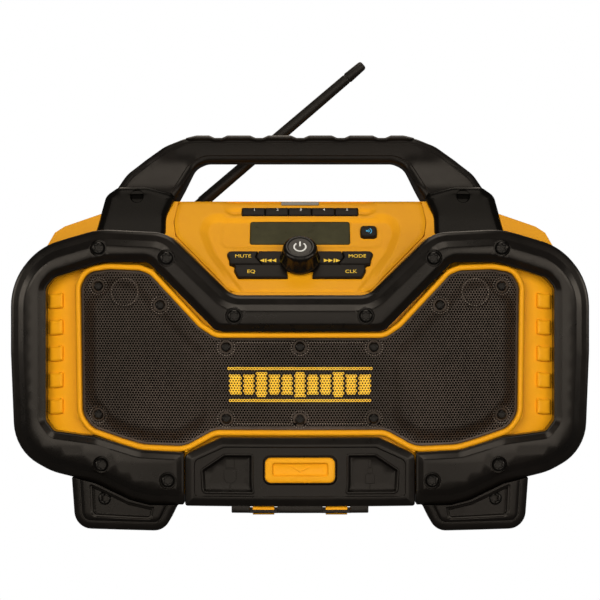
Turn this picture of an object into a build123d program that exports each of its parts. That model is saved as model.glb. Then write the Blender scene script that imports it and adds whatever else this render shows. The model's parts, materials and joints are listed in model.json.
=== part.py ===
from build123d import *
import os
from math import cos, hypot, radians, sin, sqrt, tan

# Jobsite radio, millimetres.  +X is the user's right, -Y is the front, +Z is up.
# The origin is on the floor, under the middle of the radio.

os.makedirs("parts", exist_ok=True)

# ---------------------------------------------------------------- driving sizes
width = 440.0  # over the two bumper cages
depth = 234.4  # front latch to back of the rear cage
latch_proud = 1.2  # latch in front of the door and the cage
bow_radius = 560.0  # plan radius of the bowed front
front_y = -depth / 2 + latch_proud
back_y = depth / 2
big = 700.0  # longer than the radio, for blocks that are cut to size
fit = 0.3  # gap between pieces that sit in one another
touch = 0.05  # radial running clearance of pins and shafts
merge = 0.5  # overlap of forms that are joined into one piece
past = 1.0  # how far a cut reaches past the face that it opens

wall = 3.0  # housing wall
cage_skirt = 7.5  # cage outside the housing, at the sides
cage_reach = 60.0  # how far the cage wraps back
housing_set = 18.0  # housing front behind the cage front
housing_back = 98.0
split_y = 4.0  # seam between the two housings
half = width / 2

# Sloped control face
lean = 43.0  # degrees back from upright
slope_y = front_y + 24.0
slope_z = 175.5
slope = Plane(
    origin=(0, slope_y, slope_z),
    x_dir=(1, 0, 0),
    z_dir=(0, -cos(radians(lean)), sin(radians(lean))),
)
top_z = 248.0  # crest of the control face
crest_width = 12.0
deck_z = 232.0  # deck under the handle
deck_half = 98.0
crest_y = slope_y + (top_z - slope_z) * tan(radians(lean))
deck_y = crest_y + crest_width

# Cage
bridge_top = 175.0
bridge_height = 27.2
bridge_low = bridge_top - bridge_height
limb = 30.6
cage_bottom = 19.6
cage_end = 85.5
cage_chamfer = 5.0

# Grille and the lip round it
grille_set = 15.0
grille_sheet = 2.0
lobe_rise = 4.0
lip_width = 3.8
lip_set = 10.5

# Front door
door_gap = 1.0
door_half = cage_end - door_gap
door_top = 70.6
door_low = 19.3
door_plate = 8.0
hinge_y = front_y + 10.0
hinge_z = 17.0
hinge_pin_r = 1.5
knuckle_r = 4.0

# Storage tray
tray_margin = 11.0  # tray inside the door's outline
tray_back = -42.0
tray_wall = 2.0

# Battery bay and door
bay_half = 58.0
bay_low = 70.0
bay_high = 146.0
bay_front = 30.0
battery_door_plate = 4.5
battery_hinge_z = 62.0
battery_hinge_y = housing_back + 5.5

# Handle
grip_low = 280.0
grip_top = 300.4
grip_front = -4.0
grip_back = 28.0
pad_top = 303.3
pad_seat = 3.0
notch_pitch = 32.3
notch_width = 12.0
notch_count = 5
pad_half = 86.0
pad_chamfer = 1.6
pad_edge = 3.0  # handle's edge beside its grip

# Controls, in the sloped face's own u, v
fascia_thick = 4.0
fascia_gap = 0.3
key_proud = 0.9
key_gap = 0.6
key_deep = 6.0
key_chamfer = 0.4
knob_clear = 0.9  # between the knob and the keys beside it
knob_v = 33.7
knob_r = 16.2
knob_top_r = 13.4
knob_height = 15.6
knob_float = 1.4
shaft_r = 3.0
preset_count = 5
preset_pitch = 18.0
preset_width = 17.2
preset_height = 8.6
preset_v = 87.4
window_half = 38.4
window_low = 53.2
window_high = 77.4
board_depth = 10.4
board_thick = 1.6

# Speakers
woofer_x = 112.0
woofer_z = 119.0
woofer_r = 48.0
woofer_hole_r = 42.0
woofer_seat = 6.0
cone_r = 36.0
tweeter_x = 131.0
tweeter_z = 177.4
tweeter_r = 11.5

# Aerial
mast_x = -86.0
mast_y = 48.0
mast_z = 245.4
mast_length = 180.0
mast_rise = 40.5  # degrees above level at rest
mast_r = 5.0
mast_tip_r = 3.8

# Screws
head_r = 5.0
head_high = 3.0
recess_r = 6.4
recess_deep = 4.0
shank_r = 2.0
socket_r = 2.2
socket_deep = 1.6
screw_bite = 8.0

front_cage_spots = [(150.2, 210.1), (98.9, 202.4), (48.5, 159.6), (147.9, 48.8), (97.7, 37.9)]
rear_cage_spots = [(150.0, 227.0), (60.0, 227.5), (150.0, 47.0), (60.0, 34.0)]
foot_spot = (145.6, 23.5)


# ---------------------------------------------------------------- shared shapes
def both(spots):
    """Mirror a list of (x, z) spots to the left side as well."""
    return [(side * x, z) for x, z in spots for side in (-1, 1)]


def bow_y(x, behind=0.0):
    """Y of the bowed surface that lies a given depth behind the cage's front."""
    radius = bow_radius - behind
    return front_y + bow_radius - sqrt(radius**2 - x**2)


def housing_front(x, z):
    """Y of the housing's outer face at a spot: the bow below, the slope above."""
    return max(bow_y(x, housing_set), slope_y + (z - slope_z) * tan(radians(lean)))


def bowed(near, far):
    """Slab between two depths behind the bowed front."""
    with BuildPart() as slab:
        with BuildSketch(Plane.XY.offset(-big / 4)):
            with Locations((0, front_y + bow_radius)):
                Circle(bow_radius - near)
                Circle(bow_radius - far, mode=Mode.SUBTRACT)
                Rectangle(big, bow_radius, align=(Align.CENTER, Align.MAX), mode=Mode.INTERSECT)
        extrude(amount=big)
    return slab.part


def along_x(profile, half_length):
    """Prism of a closed (y, z) outline, from -X to +X."""
    with BuildPart() as prism:
        with BuildSketch(Plane.YZ.offset(-half_length)):
            Polygon(*profile, align=None)
        extrude(amount=2 * half_length)
    return prism.part


def rod(radius, start, end):
    """Round rod from one point to another."""
    way = Vector(*end) - Vector(*start)
    with BuildPart() as body:
        with BuildSketch(Plane(origin=start, z_dir=way)):
            Circle(radius)
        extrude(amount=way.length)
    return body.part


def cone(start, end, start_r, end_r):
    """Round taper from one point to another."""
    way = Vector(*end) - Vector(*start)
    begin = Plane(origin=start, z_dir=way)
    with BuildPart() as body:
        with BuildSketch(begin):
            Circle(start_r)
        with BuildSketch(begin.offset(way.length)):
            Circle(end_r)
        loft()
    return body.part


def block(low, high):
    """Box between two corners."""
    with BuildPart() as body:
        with BuildSketch(Plane.XY.offset(low[2])):
            with Locations(((low[0] + high[0]) / 2, (low[1] + high[1]) / 2)):
                Rectangle(high[0] - low[0], high[1] - low[1])
        extrude(amount=high[2] - low[2])
    return body.part


def slope_block(outline, low, high):
    """Prism of a closed (u, v) outline on the sloped face, between two heights."""
    with BuildPart() as body:
        with BuildSketch(slope.offset(low)):
            Polygon(*outline, align=None)
        extrude(amount=high - low)
    return body.part


def mirrored(points):
    """Close a left-hand outline, top middle to bottom middle, with its mirror image."""
    return points + [(-x, z) for x, z in reversed(points) if abs(x) > 0.001]


def drawn_in(points, inset):
    """Closed outline with every side moved inwards by an inset, corners kept sharp."""
    count = len(points)
    after = [points[(i + 1) % count] for i in range(count)]
    area = sum(a[0] * b[1] - b[0] * a[1] for a, b in zip(points, after))
    turn = 1 if area > 0 else -1
    moved = []
    for i in range(count):
        (x0, z0), (x1, z1), (x2, z2) = points[i - 1], points[i], after[i]
        first = hypot(x1 - x0, z1 - z0)
        second = hypot(x2 - x1, z2 - z1)
        n1 = (-(z1 - z0) / first * turn, (x1 - x0) / first * turn)
        n2 = (-(z2 - z1) / second * turn, (x2 - x1) / second * turn)
        share = inset / (1 + n1[0] * n2[0] + n1[1] * n2[1])
        moved.append((x1 + share * (n1[0] + n2[0]), z1 + share * (n1[1] + n2[1])))
    return moved


def outline_prism(points, inset=0.0):
    """Prism along Y of a closed (x, z) outline, drawn in by an inset."""
    with BuildPart() as prism:
        with BuildSketch(Plane.XZ.offset(big / 2)):
            Polygon(*drawn_in(points, inset), align=None)
        extrude(amount=-big)
    return prism.part


side_low = 60.0
shoulder_z = 228.0
housing_outline = mirrored(
    [
        (0, top_z),
        (-deck_half, top_z),
        (-154, 238),
        (-181, shoulder_z),
        (-188, 223),
        (-193, 212),
        (-204, 200),
        (-half + cage_skirt, 186),
        (-half + cage_skirt + 0.5, side_low + 5),
        (-184, 49.5),
        (-150, 42.5),
        (-122, 29),
        (-112, 27),
        (0, 27),
    ]
)


def housing_block(inset, slope_inset):
    """The housings' envelope as one solid, drawn in by a wall."""
    with BuildPart() as body:
        add(outline_prism(housing_outline, inset))
        with BuildSketch(Plane.XY.offset(-big / 4)):
            with Locations((0, front_y + bow_radius)):
                Circle(bow_radius - housing_set - inset)
        extrude(amount=big, mode=Mode.INTERSECT)
        with BuildSketch(slope.offset(-slope_inset)):
            Rectangle(big, big)
        extrude(amount=-big, mode=Mode.INTERSECT)
        add(block((-big, -big, -big), (big, housing_back - inset, big)), mode=Mode.INTERSECT)
        add(
            block(
                (-deck_half - inset, deck_y - inset, deck_z - inset),
                (deck_half + inset, big, big),
            ),
            mode=Mode.SUBTRACT,
        )
    return body.part


housing_solid = housing_block(0.0, 0.0)
housing_hollow = housing_block(wall, wall)
housing_room = housing_block(-fit, -fit)


# ---------------------------------------------------------------- speakers' planes
def speaker_plane(side, x, z):
    """Plane on the housing's front, facing outwards, at a speaker's middle."""
    radius = bow_radius - housing_set
    return Plane(
        origin=(side * x, bow_y(x, housing_set), z),
        x_dir=(sqrt(radius**2 - x**2) / radius, side * x / radius, 0),
        z_dir=(side * x / radius, -sqrt(radius**2 - x**2) / radius, 0),
    )


def disc(plane, low, high, radius, bore=0.0):
    """Round disc or ring on a plane, between two heights."""
    with BuildPart() as body:
        with BuildSketch(plane.offset(low)):
            Circle(radius)
            if bore:
                Circle(bore, mode=Mode.SUBTRACT)
        extrude(amount=high - low)
    return body.part


# ---------------------------------------------------------------- front cage
cage_outer = [
    (0, bridge_top),
    (-50.5, bridge_top),
    (-98.5, 221.5),
    (-151, 224.3),
    (-196, 212),
    (-half, 186),
    (-half, 132),
    (-216.8, 57),
    (-187, 42),
    (-152.5, 34.8),
    (-126, 23),
    (-112, cage_bottom),
    (-cage_end, cage_bottom),
]
cage_inner = [
    (-cage_end, 59),
    (-119, 60.4),
    (-151.5, 69.7),
    (-184, 74),
    (-half + limb, 82),
    (-half + limb, 180),
    (-183.5, 187),
    (-147.5, 199.4),
    (-113, 199.4),
    (-63.2, bridge_low + 1.5),
    (-58, bridge_low),
    (0, bridge_low),
]


def face_front(part, behind):
    """Edges that lie on the bowed surface a given depth behind the cage's front."""
    tolerance = 1.0
    found = []
    for edge in part.edges():
        spots = [edge @ 0, edge @ 0.5, edge @ 1]
        gaps = [abs(p.Y - bow_y(p.X, behind)) for p in spots if abs(p.X) < bow_radius / 2]
        if len(gaps) == 3 and max(gaps) < tolerance:
            found.append(edge)
    return ShapeList(found)


def outer_edges(edges):
    """Front edges round the outside of the cage, above the feet's corners."""
    found = []
    for edge in edges:
        spot = edge @ 0.5
        beside = abs(spot.X) > half - limb + 2 and spot.Z > 56
        above = spot.Z > bridge_top - 1 and (abs(spot.X) < 98 or spot.Z > 200)
        if beside or above:
            found.append(edge)
    return ShapeList(found)


with BuildPart() as front_cage:
    add(outline_prism(mirrored(cage_outer + cage_inner)))
    add(bowed(0, cage_reach), mode=Mode.INTERSECT)
    chamfer(outer_edges(face_front(front_cage.part, 0)), length=cage_chamfer)
    add(housing_room, mode=Mode.SUBTRACT)
    recesses = [
        rod(recess_r, (x, front_y - past, z), (x, bow_y(x) + recess_deep, z))
        for x, z in both(front_cage_spots)
    ]
    holes = [
        rod(shank_r + touch, (x, front_y - past, z), (x, 0, z))
        for x, z in both(front_cage_spots)
    ]
    add(recesses + holes, mode=Mode.SUBTRACT)
front_cage.part.label = "front_cage"
export_step(front_cage.part, "parts/front_cage.step")

# ---------------------------------------------------------------- rear cage
rear_limb = 27.0
rear_outer = [
    (0, 241),
    (-150, 241),
    (-half + 30, 233.4),
    (-half, 200),
    (-half, 132),
    (-half + 3.2, 57),
    (-half + 33, 42),
    (-152.5, 34.8),
    (-126, 23),
    (-112, cage_bottom),
    (0, cage_bottom),
]
rear_window = [
    (0, 214),
    (-152, 214),
    (-half + 40.8, 209.7),
    (-half + rear_limb, 194.5),
    (-half + rear_limb, 131.5),
    (-half + 29.6, 74.7),
    (-half + 41.8, 68.7),
    (-144.9, 61.2),
    (-117.3, 48.7),
    (-109.7, 46.6),
    (0, 46.6),
]
rear_reach = 40.0
rear_chamfer = 6.0

with BuildPart() as rear_cage:
    with BuildSketch(Plane.XZ.offset(-back_y)):
        Polygon(*mirrored(rear_outer), align=None)
        Polygon(*mirrored(rear_window), align=None, mode=Mode.SUBTRACT)
    extrude(amount=rear_reach + back_y - housing_back)
    chamfer(rear_cage.faces().sort_by(Axis.Y)[-1].edges(), length=rear_chamfer)
    add(housing_room, mode=Mode.SUBTRACT)
    recesses = [
        rod(recess_r, (x, back_y + past, z), (x, back_y - recess_deep, z))
        for x, z in both(rear_cage_spots)
    ]
    holes = [
        rod(shank_r + touch, (x, back_y + past, z), (x, 0, z)) for x, z in both(rear_cage_spots)
    ]
    add(recesses + holes, mode=Mode.SUBTRACT)
rear_cage.part.label = "rear_cage"
export_step(rear_cage.part, "parts/rear_cage.step")

# ---------------------------------------------------------------- feet
foot_outline = [
    (-171.5, 38.7),
    (-169.9, 15),
    (-166.8, 8.3),
    (-156, 0),
    (-107, 0),
    (-99.9, 3.4),
    (-94.7, 10.9),
    (-91, cage_bottom),
    (-112, cage_bottom),
    (-126, 23),
    (-152.5, 34.8),
]
foot_pocket = [
    (-155, 31.5),
    (-149, 29.5),
    (-127, 19.5),
    (-113, 16.4),
    (-113, 11.5),
    (-117, 8),
    (-151, 8),
    (-155, 12),
]
foot_set = 3.0
foot_depth = 50.0
foot_screw = 14.0
pocket_deep = 4.0
foot_head_sink = 1.0  # seat of the foot's screw behind the pocket's floor


def foot(name, side, front):
    """One foot: block under the cage's corner, with a pocket and its screw's hole."""
    x, z = foot_spot
    with BuildPart() as body:
        add(outline_prism(foot_outline))
        add(bowed(foot_set, foot_set + foot_depth), mode=Mode.INTERSECT)
        pocket = outline_prism(foot_pocket) & bowed(0, foot_set + pocket_deep)
        add(pocket, mode=Mode.SUBTRACT)
        floor_y = bow_y(x, foot_set + pocket_deep) + foot_head_sink
        seat = rod(head_r + fit, (-x, front_y, z), (-x, floor_y, z))
        hole = rod(shank_r + touch, (-x, front_y, z), (-x, floor_y + foot_screw, z))
        add([seat, hole], mode=Mode.SUBTRACT)
    piece = body.part
    if side > 0:
        piece = piece.mirror(Plane.YZ)
    if not front:
        piece = piece.mirror(Plane.XZ)
    piece.label = name
    export_step(piece, f"parts/{name}.step")
    return piece


for front in (True, False):
    for side in (-1, 1):
        end_name = "front" if front else "rear"
        side_name = "left" if side < 0 else "right"
        foot(f"foot_{end_name}_{side_name}", side, front)


# ---------------------------------------------------------------- screws
def screw(x, z, seat_y, tip_y, way):
    """Pan-head screw along Y; way is +1 when it is driven towards +Y."""
    with BuildPart() as body:
        add(rod(head_r, (x, seat_y - way * head_high, z), (x, seat_y, z)))
        add(rod(shank_r, (x, seat_y - way * merge, z), (x, tip_y, z)))
        with BuildSketch(Plane(origin=(x, seat_y - way * head_high, z), z_dir=(0, way, 0))):
            RegularPolygon(socket_r, 6)
        extrude(amount=socket_deep, mode=Mode.SUBTRACT)
    return body.part


def screw_group(name, screws):
    """One node of identical screws, each its own solid."""
    group = Compound(children=screws)
    group.label = name
    export_step(group, f"parts/{name}.step")


foot_floor = bow_y(foot_spot[0], foot_set + pocket_deep) + foot_head_sink
front_screws = [
    screw(x, z, bow_y(x) + recess_deep, housing_front(x, z) + screw_bite, 1)
    for x, z in both(front_cage_spots)
]
front_screws += [
    screw(x, z, foot_floor, foot_floor + foot_screw, 1)
    for x, z in both([foot_spot])
]
screw_group("front_screws", front_screws)
rear_screws = [
    screw(x, z, back_y - recess_deep, housing_back - screw_bite, -1)
    for x, z in both(rear_cage_spots)
]
rear_screws += [
    screw(x, z, -foot_floor, -foot_floor - foot_screw, -1)
    for x, z in both([foot_spot])
]
screw_group("rear_screws", rear_screws)

# ---------------------------------------------------------------- grille
grille_left = [
    (0, 143.6),
    (-62.8, 143.6),
    (-74.7, 151.4),
    (-111.5, 190.7),
    (-119.5, 193.7),
    (-143.8, 194.8),
    (-159.1, 191.9),
    (-165.3, 182),
    (-163.8, 85.4),
    (-156, 75.2),
    (-132.6, 67.6),
    (-117.5, 63.4),
    (-85.6, 62.4),
    (-63.4, 74.8),
    (0, 75.2),
]
lobe_left = [
    (-72, 131),
    (-80, 137),
    (-123, 180),
    (-130, 185),
    (-141, 185),
    (-156, 170),
    (-156, 98),
    (-140, 81),
    (-118, 73),
    (-90, 72),
    (-72, 84),
]
grille_spots = both([(151.6, 181.9), (104.3, 167.7), (151.6, 85.4), (54.9, 136.5), (54.7, 83.3)])
grille_spots += [(0, 136.6), (0, 82.8)]
grille_head_r = 3.4
grille_head_high = 1.6
grille_shank_r = 1.4
grille_socket_r = 1.4
grille_socket_deep = 0.9
grille_bite = 5.0


def lobe_outline(side):
    """Raised speaker lobe of the grille, on one side."""
    return [(-side * x, z) for x, z in lobe_left]


with BuildPart() as speaker_grille:
    add(outline_prism(mirrored(grille_left)))
    add(bowed(grille_set, grille_set + grille_sheet), mode=Mode.INTERSECT)
    for side in (-1, 1):
        crown = outline_prism(lobe_outline(side)) & bowed(
            grille_set - lobe_rise, grille_set + grille_sheet
        )
        hollow = outline_prism(lobe_outline(side), grille_sheet) & bowed(
            grille_set - lobe_rise + grille_sheet, housing_set
        )
        add(crown)
        add(hollow, mode=Mode.SUBTRACT)
    holes = [
        rod(grille_shank_r + touch, (x, front_y, z), (x, 0, z)) for x, z in grille_spots
    ]
    add(holes, mode=Mode.SUBTRACT)
speaker_grille.part.label = "speaker_grille"
export_step(speaker_grille.part, "parts/speaker_grille.step")


def grille_screw(x, z):
    """Small pan-head screw through the grille."""
    seat = bow_y(max(abs(x) - grille_head_r, 0), grille_set)
    top = seat - grille_head_high
    tip = bow_y(x, housing_set) + grille_bite
    with BuildPart() as body:
        add(rod(grille_head_r, (x, top, z), (x, seat, z)))
        add(rod(grille_shank_r, (x, seat - merge, z), (x, tip, z)))
        with BuildSketch(Plane(origin=(x, top, z), z_dir=(0, 1, 0))):
            RegularPolygon(grille_socket_r, 6)
        extrude(amount=grille_socket_deep, mode=Mode.SUBTRACT)
    return body.part


screw_group("grille_screws", [grille_screw(x, z) for x, z in grille_spots])

# Level bars on the grille's middle, a plain pattern
bar_count = 11
bar_pitch = 9.0
bar_width = 6.0
bar_thick = 0.8
bar_mid_z = 109.0
bar_least = 12.0
bar_swell = 13.0
bar_turn = 1.05  # how fast the bars' heights swell and fall
bars = []
for i in range(bar_count):
    step = i - (bar_count - 1) / 2
    bar_height = bar_least + bar_swell * abs(cos(step * bar_turn))
    bar = outline_prism(
        [
            (step * bar_pitch - bar_width / 2, bar_mid_z - bar_height / 2),
            (step * bar_pitch + bar_width / 2, bar_mid_z - bar_height / 2),
            (step * bar_pitch + bar_width / 2, bar_mid_z + bar_height / 2),
            (step * bar_pitch - bar_width / 2, bar_mid_z + bar_height / 2),
        ]
    ) & bowed(grille_set - bar_thick, grille_set)
    bars.append(bar)
screw_group("grille_emblem", bars)

# ---------------------------------------------------------------- housings
door_left = [
    (0, door_top),
    (-58.1, door_top),
    (-door_half, 57.9),
    (-door_half, door_low),
    (0, door_low),
]
boss_r = 4.6
boss_long = 12.0
boss_front = 6.0  # how far a boss reaches out to the cage
grille_boss_r = 3.6
grille_boss_long = 10.0
speaker_ring = 1.0  # wall round a speaker's seat
speaker_reach = 6.0  # speaker seat's block in front of the housing's face
woofer_room = 40.0
tweeter_room = 14.0
tweeter_ledge = 2.0

with BuildPart() as screw_bosses:
    for x, z in both(front_cage_spots):
        face = housing_front(x, z)
        add(rod(boss_r, (x, face - boss_front, z), (x, face + boss_long, z)))
    for x, z in both(rear_cage_spots):
        add(rod(boss_r, (x, housing_back, z), (x, housing_back - boss_long, z)))
    for x, z in grille_spots:
        face = bow_y(x, housing_set)
        add(rod(grille_boss_r, (x, face - wall, z), (x, face + grille_boss_long, z)))
    for side in (-1, 1):
        woofer = speaker_plane(side, woofer_x, woofer_z)
        tweeter = speaker_plane(side, tweeter_x, tweeter_z)
        add(disc(woofer, -woofer_seat, speaker_reach, woofer_r + speaker_ring))
        add(disc(tweeter, -woofer_seat, speaker_reach, tweeter_r + speaker_ring))
    add(housing_solid, mode=Mode.INTERSECT)

fascia_left = [
    (0, 98.6),
    (-94.3, 98.6),
    (-97.1, 76.6),
    (-95, 61.4),
    (-82.1, 43.8),
    (-51.5, 2.6),
    (0, 2.6),
]
ledge = 6.0


def inset_outline(points, inset, low, high):
    """Prism on the sloped face of an outline drawn in by an inset."""
    return slope_block(drawn_in(points, inset), low, high)


with BuildPart() as housing_core:
    add(housing_hollow)
    add(inset_outline(mirrored(fascia_left), -wall, -fascia_thick - wall, 5), mode=Mode.SUBTRACT)

with BuildPart() as housing_shell:
    add(housing_solid)
    add(housing_core.part, mode=Mode.SUBTRACT)
    add(screw_bosses.part)
    # Seat and opening for the control fascia
    seat = inset_outline(mirrored(fascia_left), -fascia_gap, -fascia_thick, 5)
    opening = inset_outline(mirrored(fascia_left), ledge, -fascia_thick - wall - 1, 0)
    # Storage tray's opening
    tray_room = outline_prism(drawn_in(mirrored(door_left), tray_margin - fit))
    tray_way = tray_room & block((-half, -half, 0), (half, tray_back, half))
    add([seat, opening, tray_way], mode=Mode.SUBTRACT)
    # Speakers' holes and the room behind their seats
    for side in (-1, 1):
        woofer = speaker_plane(side, woofer_x, woofer_z)
        tweeter = speaker_plane(side, tweeter_x, tweeter_z)
        cuts = [
            disc(woofer, -woofer_seat - past, speaker_reach + past, woofer_hole_r),
            disc(woofer, -woofer_seat - woofer_room, -woofer_seat, woofer_r + fit),
            disc(tweeter, -woofer_seat - past, speaker_reach + past, tweeter_r - tweeter_ledge),
            disc(tweeter, -woofer_seat - tweeter_room, -woofer_seat, tweeter_r + fit),
        ]
        add(cuts, mode=Mode.SUBTRACT)
    # Screw holes
    holes = []
    for x, z in both(front_cage_spots):
        face = housing_front(x, z)
        holes.append(rod(shank_r + touch, (x, face - 9, z), (x, face + screw_bite + 1, z)))
    for x, z in both(rear_cage_spots):
        low = housing_back - screw_bite - 1
        holes.append(rod(shank_r + touch, (x, housing_back + 5, z), (x, low, z)))
    for x, z in grille_spots:
        face = bow_y(x, housing_set)
        holes.append(rod(grille_shank_r + touch, (x, face - 9, z), (x, face + grille_bite + 1, z)))
    add(holes, mode=Mode.SUBTRACT)

# Lip round the grille, pads on the side panels, front door's knuckles
pad_count = 5
pad_pitch = 20.0
pad_high = 9.8
pad_mid_z = 131.5
pad_near = 182.3
pad_far = half - limb - fit
pad_rise = 1.6
front_knuckle = (19.0, 34.8)
front_pin = (13.2, 40.4)
arm_back = 12.0

with BuildPart() as front_housing:
    add(housing_shell.part)
    add(block((-big, -big, -big), (big, split_y, big)), mode=Mode.INTERSECT)
    cage_room = outline_prism(mirrored(cage_outer + cage_inner), -fit)
    lip_hole = outline_prism(mirrored(grille_left), -fit)
    lip = outline_prism(mirrored(grille_left), -lip_width) - lip_hole - cage_room
    add(lip & bowed(lip_set, housing_set + 0.5))
    for side in (-1, 1):
        for i in range(pad_count):
            mid = pad_mid_z + (i - (pad_count - 1) / 2) * pad_pitch
            low_x, high_x = sorted((side * pad_near, side * pad_far))
            pad = block((low_x, -big / 2, mid - pad_high / 2), (high_x, 0, mid + pad_high / 2))
            add(pad & bowed(housing_set - pad_rise, housing_set + 0.5))
        low_x, high_x = sorted((side * front_knuckle[0], side * front_knuckle[1]))
        arm = (low_x, hinge_y, hinge_z - knuckle_r), (high_x, hinge_y + arm_back, 30)
        add(block(*arm))
        add(rod(knuckle_r, (low_x, hinge_y, hinge_z), (high_x, hinge_y, hinge_z)))
        add(
            rod(hinge_pin_r, (low_x - 1, hinge_y, hinge_z), (high_x + 1, hinge_y, hinge_z)),
            mode=Mode.SUBTRACT,
        )
front_housing.part.label = "front_housing"
export_step(front_housing.part, "parts/front_housing.step")

# Rear housing: battery bay, inlet hole, aerial's bearing, door knuckles, board posts
inlet_x = 112.0
inlet_z = 82.0
inlet_half = (14.0, 9.5)
inlet_deep = 22.0
board_y = 14.0
post_spots = both([(50.0, 85.0), (50.0, 138.0)])
aerial_bore_r = 5.0
aerial_hub_r = 8.0
aerial_hub_deep = 12.0
rear_knuckle = (38.0, 50.0)
rear_pin = (30.0, 58.0)

with BuildPart() as rear_housing:
    add(housing_shell.part)
    add(block((-big, split_y, -big), (big, big, big)), mode=Mode.INTERSECT)
    add(
        block(
            (-bay_half - wall, bay_front - wall, bay_low - wall),
            (bay_half + wall, housing_back - 1, bay_high + wall),
        )
    )
    for x, z in post_spots:
        add(rod(4, (x, board_y + board_thick, z), (x, bay_front - wall, z)))
    hub_low = deck_z - aerial_hub_deep
    add(rod(aerial_hub_r, (mast_x, mast_y, hub_low), (mast_x, mast_y, deck_z - 1)))
    for side in (-1, 1):
        low_x, high_x = sorted((side * rear_knuckle[0], side * rear_knuckle[1]))
        add(block(
            (low_x, housing_back - 1, battery_hinge_z - knuckle_r),
            (high_x, battery_hinge_y, battery_hinge_z + knuckle_r),
        ))
        add(rod(
            knuckle_r,
            (low_x, battery_hinge_y, battery_hinge_z),
            (high_x, battery_hinge_y, battery_hinge_z),
        ))
        add(
            rod(
                hinge_pin_r,
                (low_x - 1, battery_hinge_y, battery_hinge_z),
                (high_x + 1, battery_hinge_y, battery_hinge_z),
            ),
            mode=Mode.SUBTRACT,
        )
    add(
        block((-bay_half, bay_front, bay_low), (bay_half, big / 2, bay_high)),
        mode=Mode.SUBTRACT,
    )
    add(
        block(
            (inlet_x - inlet_half[0], housing_back - 10, inlet_z - inlet_half[1]),
            (inlet_x + inlet_half[0], housing_back + 5, inlet_z + inlet_half[1]),
        ),
        mode=Mode.SUBTRACT,
    )
    add(
        rod(aerial_bore_r + touch, (mast_x, mast_y, hub_low - 1), (mast_x, mast_y, deck_z + 5)),
        mode=Mode.SUBTRACT,
    )
rear_housing.part.label = "rear_housing"
export_step(rear_housing.part, "parts/rear_housing.step")

# ---------------------------------------------------------------- handle mounts
saddle_outline = [
    (-141.3, 258.8),
    (-152, 251.7),
    (-155.4, 242.3),
    (-157.9, 234.4),
    (-160, 225.5),
    (-106.7, 224.4),
    (-105, 239),
    (-96.5, 251.5),
    (-101, 252.5),
    (-116, 258.8),
]
saddle_side = [(-49, 222), (-27, 258.8), (46, 258.8), (54, 222)]
tenon_low = (-137.0, -8.0, 246.0)
tenon_high = (-116.0, 30.0, 260.0)
tenon_fit = 0.2
handle_spots = [(126.5, 252.0)]
handle_seat_y = -17.0
handle_tip_y = 4.0


def saddle(name, side):
    """Handle mount that straddles the housing's shoulder."""
    with BuildPart() as body:
        add(outline_prism(saddle_outline))
        add(along_x(saddle_side, half), mode=Mode.INTERSECT)
        add(housing_room, mode=Mode.SUBTRACT)
        add(
            block(
                [a - tenon_fit for a in tenon_low],
                [a + tenon_fit for a in tenon_high],
            ),
            mode=Mode.SUBTRACT,
        )
        for x, z in handle_spots:
            add(rod(recess_r, (-x, -big / 2, z), (-x, handle_seat_y, z)), mode=Mode.SUBTRACT)
            add(rod(shank_r + touch, (-x, -big / 2, z), (-x, 0, z)), mode=Mode.SUBTRACT)
    piece = body.part
    if side > 0:
        piece = piece.mirror(Plane.YZ)
    piece.label = name
    export_step(piece, f"parts/{name}.step")
    return piece


saddle("handle_mount_left", -1)
saddle("handle_mount_right", 1)
screw_group(
    "handle_screws",
    [screw(x, z, handle_seat_y, handle_tip_y, 1) for x, z in both(handle_spots)],
)

# ---------------------------------------------------------------- handle
handle_left = [
    (0, grip_top),
    (-86, grip_top),
    (-93, 299),
    (-107, 292.7),
    (-121.5, 282.2),
    (-136, 270),
    (-143, 258.8),
    (-116, 258.8),
    (-101, 252.5),
    (-94.9, 252.5),
    (-87, 265.5),
    (-81, 275),
    (-70, grip_low),
    (0, grip_low),
]
handle_side = [
    (-26, 250),
    (-22, 259),
    (grip_front, 282),
    (grip_front, 296),
    (grip_front + 5, grip_top),
    (grip_back - 5, grip_top),
    (grip_back, 296),
    (grip_back, 282),
    (42, 259),
    (44, 250),
]

with BuildPart() as handle:
    add(outline_prism(mirrored(handle_left)))
    add(along_x(handle_side, half), mode=Mode.INTERSECT)
    add(
        block(
            (-pad_half, grip_front + pad_edge, grip_top - pad_seat),
            (pad_half, grip_back - pad_edge, pad_top + past),
        ),
        mode=Mode.SUBTRACT,
    )
    for side in (-1, 1):
        low_x, high_x = sorted((side * tenon_low[0], side * tenon_high[0]))
        add(block((low_x, tenon_low[1], tenon_low[2]), (high_x, tenon_high[1], tenon_high[2])))
    for x, z in both(handle_spots):
        add(rod(shank_r + touch, (x, -big / 2, z), (x, handle_tip_y + 1, z)), mode=Mode.SUBTRACT)
handle.part.label = "handle"
export_step(handle.part, "parts/handle.step")

with BuildPart() as handle_grip:
    pad_low = (-pad_half + fit, grip_front + pad_edge + fit, grip_top - pad_seat)
    add(block(pad_low, (pad_half - fit, grip_back - pad_edge - fit, pad_top)))
    chamfer(handle_grip.faces().sort_by(Axis.Z)[-1].edges(), length=pad_chamfer)
    for i in range(notch_count):
        mid = (i - (notch_count - 1) / 2) * notch_pitch
        notch = (mid - notch_width / 2, -big / 2, grip_top), (mid + notch_width / 2, big / 2, big)
        add(block(*notch), mode=Mode.SUBTRACT)
handle_grip.part.label = "handle_grip"
export_step(handle_grip.part, "parts/handle_grip.step")

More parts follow.
